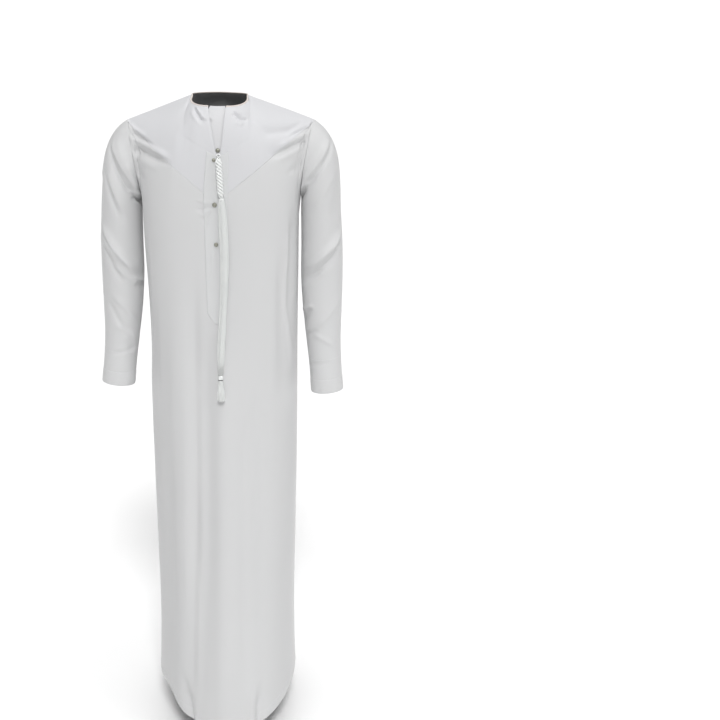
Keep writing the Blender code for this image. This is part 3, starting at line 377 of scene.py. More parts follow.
FINE_LEFT_SLEEVE_CREASES = table(
    Crease,
    (8, 0.092, 144, 0.224, 0.0085, 0.0064, 0.6),
    (-4, 0.094, 124, 0.218, 0.004, -0.0042),
    (84, 0.178, 184, 0.258, 0.0044, -0.0046),
    (60, 0.092, 110, 0.15, 0.006, 0.0022, 0.3),
    (98, 0.196, 174, 0.23, 0.0045, 0.0038, 0.5),
    (118, 0.214, 186, 0.252, 0.005, -0.0044),
    (30, 0.17, 110, 0.262, 0.009, 0.0026, 0.3),
    (2, 0.302, 128, 0.414, 0.0115, 0.0066, 0.6),
    (14, 0.338, 134, 0.444, 0.007, -0.0046),
    (60, 0.4, 165, 0.47, 0.009, 0.003, 0.4),
    (110, 0.5, 176, 0.524, 0.007, 0.0032, 0.5),
    (100, 0.56, 170, 0.584, 0.006, -0.0034),
    (20, 0.48, 110, 0.56, 0.01, 0.0026, 0.4),
    (40, 0.606, 130, 0.566, 0.007, 0.0024),
    (60, 0.64, 170, 0.655, 0.006, -0.0016),
    (190, 0.45, 310, 0.52, 0.007, -0.0034),
    (200, 0.25, 320, 0.36, 0.008, -0.0034),
    (196, 0.18, 300, 0.11, 0.008, 0.004),
)
FINE_RIGHT_SLEEVE_CREASES = table(
    Crease,
    (20, 0.098, 160, 0.256, 0.0085, 0.0066, 0.6),
    (6, 0.096, 126, 0.24, 0.004, -0.0044),
    (92, 0.204, 190, 0.276, 0.0044, -0.0044),
    (34, 0.096, 112, 0.19, 0.006, 0.0026, 0.3),
    (84, 0.158, 140, 0.226, 0.005, 0.0026, 0.4),
    (28, 0.164, 108, 0.308, 0.006, -0.0042),
    (42, 0.168, 118, 0.292, 0.01, 0.0034, 0.5),
    (112, 0.229, 186, 0.24, 0.0045, 0.0038, 0.5),
    (124, 0.244, 186, 0.256, 0.005, -0.0046),
    (22, 0.29, 140, 0.446, 0.0115, 0.0068, 0.6),
    (28, 0.338, 110, 0.47, 0.007, -0.0046),
    (60, 0.4, 165, 0.48, 0.009, 0.003, 0.4),
    (120, 0.44, 178, 0.462, 0.006, 0.003, 0.5),
    (49, 0.498, 120, 0.6, 0.008, -0.0032),
    (60, 0.48, 150, 0.56, 0.01, 0.0028, 0.4),
    (70, 0.56, 165, 0.612, 0.007, 0.0026),
    (60, 0.64, 170, 0.625, 0.006, -0.0018),
    (190, 0.46, 310, 0.53, 0.007, -0.0034),
    (200, 0.26, 320, 0.37, 0.008, -0.0034),
    (196, 0.19, 300, 0.12, 0.008, 0.004),
)
CREASES = {
    "front": (FRONT_CREASES, FINE_FRONT_CREASES),
    "back": (BACK_CREASES, FINE_BACK_CREASES),
    "sleeve_left": (LEFT_SLEEVE_CREASES, FINE_LEFT_SLEEVE_CREASES),
    "sleeve_right": (RIGHT_SLEEVE_CREASES, FINE_RIGHT_SLEEVE_CREASES),
}

# Where the large and the fine creases and the waves set in, as parts of the way down to the chest
LARGE_FROM = (0.0, 0.30)
FINE_FROM = (0.0, 0.04)
WAVES_FROM = (0.1, 0.5)
WAVES = 0.0007
PLAIN_AT_SIDE = 0.93  # along a half panel, from where its side seam flattens the creases

# The same for the sleeves, from the armhole to the first whole ring
SLEEVE_LARGE_FROM = (0.05, 0.45)
SLEEVE_FINE_FROM = (0.0, 0.10)
SLEEVE_WAVES_FROM = (0.1, 0.6)
SLEEVE_WAVES = 0.0006
SLEEVE_WAVES_ACROSS = 0.05

# Buttons: how far down and aside each one lies
Stud = namedtuple("Stud", "name across drop radius")
STUDS = table(
    Stud,
    ("button_1", 0.0045, 0.1165, 0.005),
    ("button_2", -0.004, 0.1391, 0.0042),
    ("button_3", -0.002, 0.241, 0.0055),
    ("button_4", 0.001, 0.334, 0.005),
)
STUD_HEIGHT = 0.0028
STUD_RIM = 0.36  # of its height
STUD_SHANK = 0.0014
STUD_SHANK_INSET = 0.55
STUD_WORN = 0.00016

# How far a stud's top is inset and raised at each step, as parts of its radius and its height
STUD_TURNING = (
    (0.14, 0.0),
    (0.03, -0.07),
    (0.05, 0.0),
    (0.03, 0.16),
    (0.12, 0.20),
    (0.16, 0.12),
    (0.10, 0.05),
    (0.10, 0.02),
)

# The outline of a hanging bunch down its length, from 0 at its top to 1 at its end
Bulge = namedtuple("Bulge", "part half_width half_depth across")
BUNDLE = table(
    Bulge,
    (0.0, 0.0052, 0.0036, 0.0138),
    (0.06, 0.0088, 0.0046, 0.0155),
    (0.28, 0.011, 0.0052, 0.02),
    (0.62, 0.0084, 0.005, 0.0169),
    (0.85, 0.0094, 0.005, 0.0116),
    (0.96, 0.0076, 0.0046, 0.0106),
    (1.0, 0.0054, 0.004, 0.0104),
)
BRUSH = table(
    Bulge,
    (0.0, 0.005, 0.004, 0.0104),
    (0.2, 0.006, 0.0044, 0.0106),
    (0.6, 0.0084, 0.0056, 0.0113),
    (1.0, 0.01, 0.0062, 0.0119),
)

# Edges of a sheet: how far in each line of points lies, and how far its outer and inner faces are sunk
Rim = namedtuple("Rim", "inset outer inner")
PLAIN_EDGE = table(
    Rim,
    (0.0001, 0.00045, 0.0009),
    (0.0003, 0.00016, 0.0009),
    (0.0009, 0.0, 0.0009),
)
SEAM_EDGE = table(
    Rim,
    (0.0001, 0.0004, 0.0013),
    (0.0005, 0.0002, 0.0011),
    (0.0012, 0.0, 0.0009),
    (0.0022, 0.0, 0.0009),
    (0.0031, 0.0002, 0.001),
    (0.004, 0.0, 0.0009),
)
LAID_EDGE = table(
    Rim,
    (0.0001, 0.0007, 0.001),
    (0.0005, 0.0003, 0.001),
    (0.0012, 0.0, 0.001),
    (0.0021, 0.0001, 0.001),
    (0.003, 0.0, 0.001),
)
RIM_REACH = 0.9  # the most that a line of points is set in, as a part of the grid's first step
STITCHED_LINE = 4  # the line of a seam's edge that the stitches follow
LAID_LINE = 3
LAID_LINE_FROM = 3  # the row at which the placket's stitches start
LAID_THICKNESS = 0.0010
LAID_HEIGHT = 0.0012  # of the placket's outer face over the panel's
HEM_BAND = 0.025
CUFF_BAND = 0.033
BAND_RAISED = 0.0005
BAND_SUNK = -0.0002  # along its stitched line
BAND_STEP = 0.6  # of the raise, on the row below that line
BAND_ROWS = (-0.06, -0.012, 0.03, 0.08)  # rows near a band's start, in terms of its height
BAND_ROWS_APART = 0.3  # from the even rows, in terms of their spacing
SECOND_LINE_ROWS = 17  # of a sleeve, from the stitched line of its cuff up to the fainter one

# A stitch: its rings from end to end, as places along it and sizes, and the points round each ring
STITCH_LENGTHWISE = ((-1.0, 0.25), (-0.62, 1.0), (0.62, 1.0), (1.0, 0.25))
STITCH_ROUND = ((1.0, 0.0), (0.0, 0.8), (-1.0, 0.0), (0.0, -0.6))
STITCH_HALF = 0.36  # half its length, as a part of the pitch
STITCH_AHEAD = 0.1  # of the pitch, to tell which way it runs
STITCH_LIFT = 0.3  # of half its thickness, off the cloth

# The rolled edge round the neck, from inside the neck over its top to the outside, up and out
BINDING_THICKNESS = 0.0005
BINDING_COLUMNS = 34  # on each half of the front and of the back
BINDING_BELOW = 0.05  # where the way up to the edge is taken from
BINDING_ROUNDS = 6  # of smoothing that way
BINDING = (
    (-0.0015, -0.0016),
    (0.0004, -0.0021),
    (0.0016, -0.0021),
    (0.0024, -0.0018),
    (0.0029, -0.0013),
    (0.0030, -0.0006),
    (0.0027, 0.0000),
    (0.0021, 0.0005),
    (0.0012, 0.0008),
    (0.0002, 0.0009),
    (-0.0008, 0.00075),
    (-0.0016, 0.00058),
)

# A strand of the tassel: where it is cut into lengths, and its width as a part of its room
STRAND_CUTS = (0.03, 0.08, 0.15, 0.23, 0.32, 0.42, 0.52, 0.62, 0.72, 0.82, 0.91)
STRAND_FILL = 0.86
STRAND_SPIN = 1.3
STRAND_SWAY = 0.05
STRANDS_WITHIN = 0.93  # of the bunch's outline

# The round head of a bunch: how far down each of its rings is, in terms of the last, and its size
HEAD = ((0.0, 0.35), (0.004, 0.72), (0.010, 0.96), (0.018, 1.0), (0.024, 0.97))
HEAD_SIDES = 28
HEAD_RIDGES = 0.05  # how much smaller every second side is
HEAD_BELOW = 0.012  # how far it reaches below the strands' roots, as a part of the bunch's length
MERGED = 0.00001  # points this near each other are made one

# The lamps: bearing, height above the level and spread, in degrees
Lamp = namedtuple("Lamp", "name round_it height spread")
LAMPS = table(Lamp, ("top", 0, 86, 60), ("key", 9, 48, 12), ("side", 62, 30, 20), ("back", 185, 25, 30))

# The camera: how far round from the front it stands, how it is turned, and its lens in millimetres
CAMERA_ROUND = 6.288
CAMERA_AWAY = 3.0
CAMERA_HEIGHT = 0.3032
CAMERA_YAW = 6.614
CAMERA_TILT = 17.808
CAMERA_ROLL = 1.190
CAMERA_LENS = 61.768
FLOOR_SIZE = 160
FLOOR_BACK = 60

# How finely the sheets are divided
BODY_COLUMNS = (20, 22, 5, 20)  # neckline, shoulder seam, armhole to the V seam and armhole below it
SKIRT_ROWS = 230
CHEST_ROWS = 66
YOKE_ROWS = 110
YOKE_FINER = 1.7  # times the columns of the front panel
BACK_CHEST_ROWS = 56
CAP_ROWS = 60
ARM_ROWS = 150
SLEEVE_COLUMNS = 150
HUNG_PLACES = 40  # down a cord or winding, at which the cloth behind it is looked up
BUNCH_PLACES = 60


# Curves and tables


def xyz(*parts):
    return np.stack(np.broadcast_arrays(*parts), axis=-1).astype(float)


def read(rows, name, at):
    """Reads a column of a table at places along its first column, on a smooth curve through its rows."""
    places = np.array([row[0] for row in rows])
    values = np.array([getattr(row, name) for row in rows])
    slopes = np.gradient(values, places)
    at = np.clip(at, places[0], places[-1])
    i = np.clip(np.searchsorted(places, at, side="right") - 1, 0, len(rows) - 2)
    span = places[i + 1] - places[i]
    t = (at - places[i]) / span
    start = values[i] * (1 + 2 * t) * (1 - t) ** 2 + slopes[i] * span * t * (1 - t) ** 2
    end = values[i + 1] * t * t * (3 - 2 * t) + slopes[i + 1] * span * t * t * (t - 1)
    return start + end


def ramp(value, low, high):
    """Rises smoothly from 0 at low to 1 at high."""
    t = np.clip((value - low) / (high - low), 0.0, 1.0)
    return t * t * (3 - 2 * t)


def blend(a, b, t):
    return a + (b - a) * t


def steps(low, high, count):
    return np.linspace(low, high, count + 1)


def curve(start, leave, end, arrive, t):
    """Points on smooth curves between two places, with the ways in which they leave and arrive."""
    t = np.asarray(t)[..., None]
    h = t * t * (3 - 2 * t)
    return start * (1 - h) + end * h + leave * (t * (1 - t) ** 2) + arrive * (t * t * (t - 1))


def unit(ways):
    return ways / np.maximum(np.linalg.norm(ways, axis=-1, keepdims=True), 1e-12)


def follow(values, places, at):
    """Reads points, given at places along a line, between them."""
    return np.stack([np.interp(at, places, values[:, k]) for k in range(3)], axis=-1)


def relief(creases, across, drop, arc=1.0):
    """How far the creases raise the cloth at each place."""
    height = np.zeros(np.broadcast(across, drop).shape)
    for c in creases:
        run = np.array(((c.to_across - c.from_across) * arc, c.to_drop - c.from_drop))
        aside, down = (across - c.from_across) * arc, drop - c.from_drop
        length = math.hypot(*run)
        part = (aside * run[0] + down * run[1]) / length**2
        away = (run[0] * down - run[1] * aside) / length / c.half_width
        away = np.where(away > 0, away / (1 - c.steep), away)
        ridge = c.height * np.exp(-away * away)
        height += ridge * ramp(part, 0, CREASE_ENDS[0]) * ramp(part, 1, CREASE_ENDS[1])
    return height


def waviness(across, drop):
    """A slow unevenness, as cloth has where nothing pulls it straight."""
    first = np.sin(across * 61 + 2.1 * np.sin(drop * 5.3))
    second = np.sin(across * 37 - drop * 7.7 + 1.9)
    third = np.sin(drop * 17 + across * 23 + 0.7)
    return first * 0.40 + second * 0.35 + third * 0.25


def crossing(test, like, halvings=24):
    """Where rising functions of 0 to 1 pass 0."""
    low, high = np.zeros_like(like), np.ones_like(like)
    for _ in range(halvings):
        middle = (low + high) / 2
        below = test(middle) < 0
        low, high = np.where(below, middle, low), np.where(below, high, middle)
    return (low + high) / 2


# The body's form


def armhole(side, turn):
    """The armhole's edge at +X: turn 0 is at the shoulder and pi at the underarm."""
    low = (1 - np.cos(turn)) / 2
    out = blend(SHOULDER_OUT, UNDERARM_OUT, low) - ARMHOLE_HOLLOW * np.sin(turn)
    y = side.facing * side.armhole_reach * np.sin(turn)
    return xyz(out, y, -blend(SHOULDER_DROP, UNDERARM_DROP, low))


def top_edge(side, along):
    """A half panel's top edge at +X: the neckline, the shoulder seam, then the armhole."""
    turn = np.minimum(along / AT_NECK, 1) * math.pi / 2
    ahead = np.maximum(np.cos(turn), 0)
    fall = -side.neck_drop * ahead**side.neck_fall
    neck = xyz(NECK_HALF_WIDTH * np.sin(turn), side.facing * side.neck_reach * ahead, fall)
    part = np.clip((along - AT_NECK) / (AT_SHOULDER - AT_NECK), 0, 1)
    shoulder = xyz(blend(NECK_HALF_WIDTH, SHOULDER_OUT, part), 0, -SHOULDER_DROP * part)
    hole = armhole(side, np.clip((along - AT_SHOULDER) / (1 - AT_SHOULDER), 0, 1) * math.pi)
    past_neck, past_shoulder = (along > AT_NECK)[..., None], (along > AT_SHOULDER)[..., None]
    return np.where(past_shoulder, hole, np.where(past_neck, shoulder, neck))


def leaving(side, along):
    """The way in which the cloth leaves its top edge at +X."""
    rows = FRONT_LEAVE if side is FRONT else BACK_LEAVE
    return xyz(read(rows, "out", along), side.facing * read(rows, "ahead", along), -read(rows, "down", along))


def section_point(side, along, drop):
    """A point of a horizontal section; along runs from -1 to 1, from the right side to the left."""
    turn = np.abs(along) * math.pi / 2
    left = along > 0
    full = np.where(left, read(BODY, "full_left", drop), read(BODY, "full_right", drop))
    if side is BACK:
        full = read(BODY, "full_back", drop)
    half = np.where(left, read(BODY, "half_left", drop), read(BODY, "half_right", drop))
    x = half * np.sin(turn) ** (2 / full)
    y = read(BODY, side.name, drop) * np.maximum(np.cos(turn), 0) ** (2 / full)
    return xyz(np.where(left, x, -x), side.facing * y, -drop)


def hem_drop(side, along):
    dip = side.hem_dip * np.maximum(np.cos(along * math.pi / 2), 0) ** HEM_DIP_POWER
    lift = HEM_LIFT * np.exp(-(((along - HEM_LIFT_AT) / HEM_LIFT_SPREAD) ** 2)) if side is FRONT else 0
    return HEM_DROP + dip - lift * ramp(np.abs(along), 1, HEM_LIFT_TO)


def edge_below(side, along, down):
    """The top edge as the cloth below it follows it: its corners soften further down."""
    spread = np.minimum(CORNER_SPREAD * ramp(down, 0, CORNER_FADE), 1 - np.abs(along))
    total = 0
    for share in steps(-1, 1, CORNER_SAMPLES - 1):
        beside = along + spread * share
        point = top_edge(side, np.abs(beside))
        point[..., 0] *= np.where(beside < 0, -1.0, 1.0)
        total = total + point
    return total / CORNER_SAMPLES


def form(side, along, down):
    """The smooth form of the body without creases. Along runs from -1 to 1, and down is 0 at the top edge,
    1 at the chest's level and 2 at the hem."""
    along, down = np.broadcast_arrays(np.asarray(along, float), np.asarray(down, float))
    start, leave = edge_below(side, along, down), leaving(side, np.abs(along))
    leave[..., 0] *= np.where(along < 0, -1.0, 1.0)
    end = section_point(side, along, CHEST_DROP)
    slope = (section_point(side, along, CHEST_DROP + SLOPE_STEP) - end) / SLOPE_STEP
    arrive = slope * ((start - end)[..., 2:] * CHEST_PULL)
    upper = curve(start, leave, end, arrive, np.minimum(down, 1))
    low = np.clip(down - 1, 0, 1)
    lower = section_point(side, along, blend(CHEST_DROP, hem_drop(side, along), low))
    return np.where((down > 1)[..., None], lower, upper)


def outward(side, along, down, step=0.004):
    """The unit way out of the form."""
    across = form(side, np.minimum(along + step, 1), down) - form(side, np.maximum(along - step, -1), down)
    fall = form(side, along, np.minimum(down + step, 2)) - form(side, along, np.maximum(down - step, 0))
    out = np.cross(fall, across) * -side.facing
    out[..., 1] *= np.abs(along) < AT_SIDE_SEAM
    return unit(out)


def settled(points):
    """Moves points with the left shoulder, which sits higher than the right one."""
    share = ramp(points[..., 0], RAISED_FROM, SHOULDER_OUT) * ramp(-points[..., 2], *RAISED_DROPS)
    return points + xyz(LEFT_OUT * share, 0, LEFT_RAISED * share)


def body(side, along, down):
    """Points on the outer face of the cloth, with its creases."""
    along, down = np.broadcast_arrays(np.asarray(along, float), np.asarray(down, float))
    points = form(side, along, down)
    across, drop = points[..., 0], -points[..., 2]
    large, fine = CREASES[side.name]
    height = relief(large, across, drop) * ramp(down, *LARGE_FROM)
    height += relief(fine, across, drop) * ramp(down, *FINE_FROM)
    height += waviness(across, drop) * WAVES * ramp(down, *WAVES_FROM)
    height *= ramp(np.abs(along), 1, PLAIN_AT_SIDE)
    return settled(points + outward(side, along, down) * height[..., None])


def v_seam(along):
    """How far down the front's columns the V seam crosses them."""
    along = np.abs(np.asarray(along, float))
    end = armhole(FRONT, V_TURN)

    def below(down):
        points = form(FRONT, along, down)
        return -points[..., 2] - blend(V_TIP_DROP, -end[2], np.minimum(points[..., 0] / end[0], 1))

    return np.where(along < AT_V, crossing(below, along), 0.0)


def front_spot(across, drop):
    """The front's outer face at places given as seen from the front, and the ways out of it."""
    across, drop = np.broadcast_arrays(np.asarray(across, float), np.asarray(drop, float))

    def down_at(along):
        return crossing(lambda part: -form(FRONT, along, part * 2)[..., 2] - drop, across) * 2

    def beside(part):
        return form(FRONT, part * SPOTS_TO, down_at(part * SPOTS_TO))[..., 0] - np.abs(across)

    along = np.where(across < 0, -SPOTS_TO, SPOTS_TO) * crossing(beside, across)
    down = down_at(along)
    return body(FRONT, along, down), outward(FRONT, along, down)


def mirrored(half):
    return np.concatenate((-half[:0:-1], half))


def half_columns(end=1.0):
    """Places along a half panel, closer together where the top edge turns."""
    neck, shoulder, to_v, hole = BODY_COLUMNS
    if end < 1:
        neck, shoulder = round(neck * YOKE_FINER), round(shoulder * YOKE_FINER)
    places = [steps(0, AT_NECK, neck)[:-1], steps(AT_NECK, AT_SHOULDER, shoulder)[:-1]]
    if end < 1:
        return np.concatenate(places + [steps(AT_SHOULDER, end, to_v)])
    return np.concatenate(places + [steps(AT_SHOULDER, AT_V, to_v)[:-1], steps(AT_V, 1, hole)])


def rows_with_band(count, band):
    """Parts of the way down a panel, with rows close together where its hem band starts. Band is the
    band's height as a part of the same way."""
    start = 1 - band
    even = steps(0, 1, count)
    near = [start + gap * band for gap in BAND_ROWS]
    apart = BAND_ROWS_APART / count
    keep = (even < near[0] - apart) | (even > near[-1] + apart)
    return np.sort(np.concatenate((even[keep], near))), near[1]


def panel_grid(side, places, start, chest_rows):
    """A whole panel from where it starts, a part of the way down to the chest, and its hem's stitched row."""
    upper = body(side, places, blend(start, 1.0, steps(0, 1, chest_rows)[:, None]))
    skirt, line = rows_with_band(SKIRT_ROWS, HEM_BAND / SKIRT_LENGTH)
    lower = body(side, places, 1 + skirt[1:, None])
    return np.concatenate((upper, lower)), chest_rows + int(np.searchsorted(skirt, line))


def front_grid():
    places = mirrored(half_columns())
    return panel_grid(FRONT, places, v_seam(places), CHEST_ROWS)


def back_grid():
    return panel_grid(BACK, mirrored(half_columns())[::-1], 0, BACK_CHEST_ROWS)


def slit_half(drop):
    """Half the width of the slit, which closes at its lower end."""
    part = (drop - FRONT.neck_drop) / (SLIT_LOW_DROP - FRONT.neck_drop)
    low = SLIT_LOW_HALF * ramp(drop, SLIT_END_DROP, SLIT_LOW_DROP)
    return np.where(drop < SLIT_LOW_DROP, blend(SLIT_TOP_HALF, SLIT_LOW_HALF, part), low)


def slit_middle(drop):
    return SLIT_LEAN * ramp(drop, FRONT.neck_drop, SLIT_LOW_DROP) * ramp(drop, V_TIP_DROP, SLIT_END_DROP)


def yoke_points(along, part):
    """Points of the yoke: along is signed, and part runs from the top edge to the V seam."""
    along, part = np.broadcast_arrays(np.asarray(along, float), np.asarray(part, float))
    points = body(FRONT, along, v_seam(along) * part)
    drop = -form(FRONT, 0.0, v_seam(0.0) * part)[..., 2]
    hand = np.where(along < 0, -1.0, 1.0)
    aside = (hand * slit_half(drop) + slit_middle(drop)) * np.maximum(1 - np.abs(along) / AT_NECK, 0)
    points[..., 0] += aside
    return points


def yoke_grid(hand):
    places = half_columns(AT_V - YOKE_POINT) * hand
    places[0] = SLIT_SIDE * hand
    return yoke_points(np.sort(places), steps(0, 1, YOKE_ROWS)[:, None])


# Sleeves


def sleeve_ring(turn, drop):
    out = read(SLEEVE, "out", drop) + read(SLEEVE, "half_width", drop) * np.cos(turn)
    y = read(SLEEVE, "ahead", drop) - read(SLEEVE, "half_depth", drop) * np.sin(turn)
    slant = CUFF_SLANT * ramp(drop, SLEEVE_START, CUFF_DROP) * np.cos(turn)
    return xyz(out, y, slant - drop)


def armhole_at(turn):
    """The whole armhole: turn 0 is the shoulder, a half turn the underarm, and the front comes first."""
    front = (turn <= math.pi)[..., None]
    return np.where(front, armhole(FRONT, turn), armhole(BACK, 2 * math.pi - turn))


def sleeve_form(turn, down):
    """The sleeve at +X, uncreased: down is 0 at the armhole, 1 at its first whole ring and 2 at the cuff."""
    turn, down = np.broadcast_arrays(np.asarray(turn, float), np.asarray(down, float))
    start, end = armhole_at(turn), sleeve_ring(turn, SLEEVE_START)
    length = np.linalg.norm(end - start, axis=-1, keepdims=True)
    high = np.abs(np.cos(turn / 2))
    out, fall = (blend(low, top, high) for low, top in (CAP_LEAVE_OUT, CAP_LEAVE_DOWN))
    leave = unit(xyz(out, -CAP_LEAVE_AHEAD * np.sin(turn), -fall))
    slope = (sleeve_ring(turn, SLEEVE_START + SLOPE_STEP) - end) / SLOPE_STEP
    upper = curve(start, leave * length * CAP_ROUNDNESS, end, slope * length, np.minimum(down, 1))
    lower = sleeve_ring(turn, blend(SLEEVE_START, CUFF_DROP, np.clip(down - 1, 0, 1)))
    return np.where((down > 1)[..., None], lower, upper)


def held(points, hand):
    """Moves points of a sleeve with its arm."""
    share = ramp(-points[..., 2], SLEEVE_START, CUFF_DROP) * (hand < 0)
    return points + xyz(-RIGHT_CUFF_IN * share, 0, RIGHT_CUFF_UP * share)


def sleeve_grid(hand):
    """One sleeve: hand is 1 for the wearer's left and -1 for the right."""
    large, fine = CREASES["sleeve_left" if hand > 0 else "sleeve_right"]
    turn = steps(0, 2 * math.pi, SLEEVE_COLUMNS)[:-1]
    arm, line = rows_with_band(ARM_ROWS, CUFF_BAND / (CUFF_DROP - SLEEVE_START))
    down = np.concatenate((steps(0, 1, CAP_ROWS), 1 + arm[1:]))[:, None]
    points = sleeve_form(turn, down)
    ways = -grid_ways(points, True)
    height = np.zeros(points.shape[:2])
    drop = -points[..., 2]
    for whole_turn in (0, 360):
        angle = np.degrees(turn) - whole_turn
        height += relief(large, angle, drop, SLEEVE_ARC) * ramp(down, *SLEEVE_LARGE_FROM)
        height += relief(fine, angle, drop, SLEEVE_ARC) * ramp(down, *SLEEVE_FINE_FROM)
    waves = waviness(np.sin(turn + hand) * SLEEVE_WAVES_ACROSS, drop + hand)
    height += waves * SLEEVE_WAVES * ramp(down, *SLEEVE_WAVES_FROM)
    points = held(points + ways * height[..., None], hand)
    points[..., 0] *= hand
    return settled(points if hand < 0 else points[:, ::-1]), CAP_ROWS + int(np.searchsorted(arm, line))


# Sheets of cloth


def grid_ways(points, around):
    """The unit ways out of a grid of points."""
    if around:
        across = np.roll(points, -1, axis=1) - np.roll(points, 1, axis=1)
    else:
        across = np.gradient(points, axis=1)
    return unit(np.cross(np.gradient(points, axis=0), across))


def edged(points, sunk, rim, edge):
    """Adds lines of points along one edge of a grid. Edge 0 is its top, 1 its bottom, 2 and 3 its sides."""
    from_end = slice(None, None, -1 if edge % 2 else 1)

    def turned(a):
        return a.swapaxes(0, 1) if edge > 1 else a

    p, s = turned(points)[from_end], turned(sunk)[from_end]
    run = unit(np.gradient(p[0], axis=0))
    way = p[1] - p[0]
    square = way - run * (way * run).sum(axis=-1, keepdims=True)
    reach = np.maximum(np.linalg.norm(square, axis=-1, keepdims=True), 1e-6)
    new_points = [p[0] + way * np.minimum(line.inset / reach, RIM_REACH) for line in rim]
    new_sunk = [np.maximum(s[0], (line.outer, line.inner)) for line in rim]
    return [turned(np.concatenate(lines)[from_end]) for lines in ((new_points, p[1:]), (new_sunk, s[1:]))]


def sewn(points, rims, around, raised=None, thickness=None):
    """Gives a grid its edges: returns its points, their ways out and how far both faces are sunk."""
    thick = sizes().cloth_thickness if thickness is None else thickness
    sunk = np.zeros(points.shape[:2] + (2,))
    sunk[..., 1] = thick
    if raised is not None:
        sunk[..., 0] -= raised[:, None]
    for edge, rim in enumerate(rims):
        if rim:
            points, sunk = edged(points, sunk, rim, edge)
    return points, grid_ways(points, around), sunk


def arcs(points, axis):
    """How far along its line each point lies."""
    lengths = np.linalg.norm(np.diff(points, axis=axis), axis=-1)
    start = np.zeros_like(np.take(lengths, [0], axis=axis))
    return np.concatenate((start, np.cumsum(lengths, axis=axis)), axis=axis)


def weave_map(points, around):
    """Places on the flat cloth, in metres."""
    if around:
        points = np.concatenate((points, points[:, :1]), axis=1)
    u, v = arcs(points, 1), arcs(points, 0)
    u = u - u[:, u.shape[1] // 2, None]
    return np.stack((u, v[-1:] - v), axis=-1)


def shell(name, points, ways, sunk, around=False):
    """A thin closed sheet with an outer and an inner face, and its places on the flat cloth."""
    rows, cols = points.shape[:2]
    wide = cols + 1 if around else cols
    layer = rows * cols
    outer, inner = points - ways * sunk[..., :1], points - ways * sunk[..., 1:]
    corners = np.concatenate((outer.reshape(-1, 3), inner.reshape(-1, 3)))

    def at(place, width):
        row, column = np.broadcast_arrays(*place)
        return row * width + column % width

    r, c = (a.ravel() for a in np.mgrid[0 : rows - 1, 0 : wide - 1])
    ring = ((r, c), (r + 1, c), (r + 1, c + 1), (r, c + 1))
    face, spot = (np.stack([at(place, width) for place in ring], axis=-1) for width in (cols, wide))
    faces, spots = [face, face[:, ::-1] + layer], [spot, spot[:, ::-1]]
    r, c = np.arange(rows - 1), np.arange(wide - 1)
    edges = [((0, c), (0, c + 1)), ((rows - 1, c + 1), (rows - 1, c))]
    if not around:
        edges += [((r + 1, 0), (r, 0)), ((r, cols - 1), (r + 1, cols - 1))]
    for one, other in edges:
        a, b = at(one, cols), at(other, cols)
        faces.append(np.stack((a, b, b + layer, a + layer), axis=-1))
        a, b = at(one, wide), at(other, wide)
        spots.append(np.stack((a, b, b, a), axis=-1))
    piece = mesh_object(name, corners, np.concatenate(faces))
    flat = weave_map(points, around).reshape(-1, 2)[np.concatenate(spots).ravel()]
    places = piece.data.uv_layers.new(name="weave")
    places.data.foreach_set("uv", flat.astype(np.float32).ravel())
    return piece


def mesh_object(name, corners, faces):
    """A smooth mesh from arrays of corners and of quads."""
    mesh = bpy.data.meshes.new(name)
    mesh.vertices.add(len(corners))
    mesh.vertices.foreach_set("co", corners.astype(np.float32).ravel())
    mesh.loops.add(faces.size)
    mesh.loops.foreach_set("vertex_index", faces.astype(np.int32).ravel())
    mesh.polygons.add(len(faces))
    mesh.polygons.foreach_set("loop_start", np.arange(0, faces.size, faces.shape[1], dtype=np.int32))
    mesh.update(calc_edges=True)
    mesh.polygons.foreach_set("use_smooth", np.ones(len(faces), dtype=bool))
    piece = bpy.data.objects.new(name, mesh)
    bpy.context.scene.collection.objects.link(piece)
    return piece


def stitches(name, lines, slot):
    """Short stitches along lines of points on the cloth, each line with its ways out."""
    pitch, thick = sizes().stitch_pitch, sizes().thread_thickness
    made = []
    for points, ways in lines:
        arc = arcs(points, 0)
        middles = np.arange(pitch / 2, arc[-1] - pitch / 3, pitch)
        place, out = follow(points, arc, middles), unit(follow(ways, arc, middles))
        along = unit(follow(points, arc, middles + pitch * STITCH_AHEAD) - place)
        aside = np.cross(along, out)
        for part, size in STITCH_LENGTHWISE:
            for wide, tall in STITCH_ROUND:
                lift = (aside * wide + out * tall) * size + out * STITCH_LIFT
                made.append(place + along * (part * pitch * STITCH_HALF) + lift * (thick / 2))
    per_stitch = len(STITCH_LENGTHWISE) * len(STITCH_ROUND)
    corners = np.concatenate(
        [np.stack(made[i : i + per_stitch], axis=1).reshape(-1, 3) for i in range(0, len(made), per_stitch)]
    )
    k = np.arange(4)
    sides = [np.stack((k, k + 4, (k + 1) % 4 + 4, (k + 1) % 4), axis=-1) + ring * 4 for ring in range(3)]
    one = np.concatenate(sides + [np.array([[0, 1, 2, 3], [15, 14, 13, 12]])])
    faces = (np.arange(len(corners) // per_stitch)[:, None, None] * per_stitch + one).reshape(-1, 4)
    return finished(mesh_object(name, corners, faces), thread(name, colours().stitches), slot)


# Materials


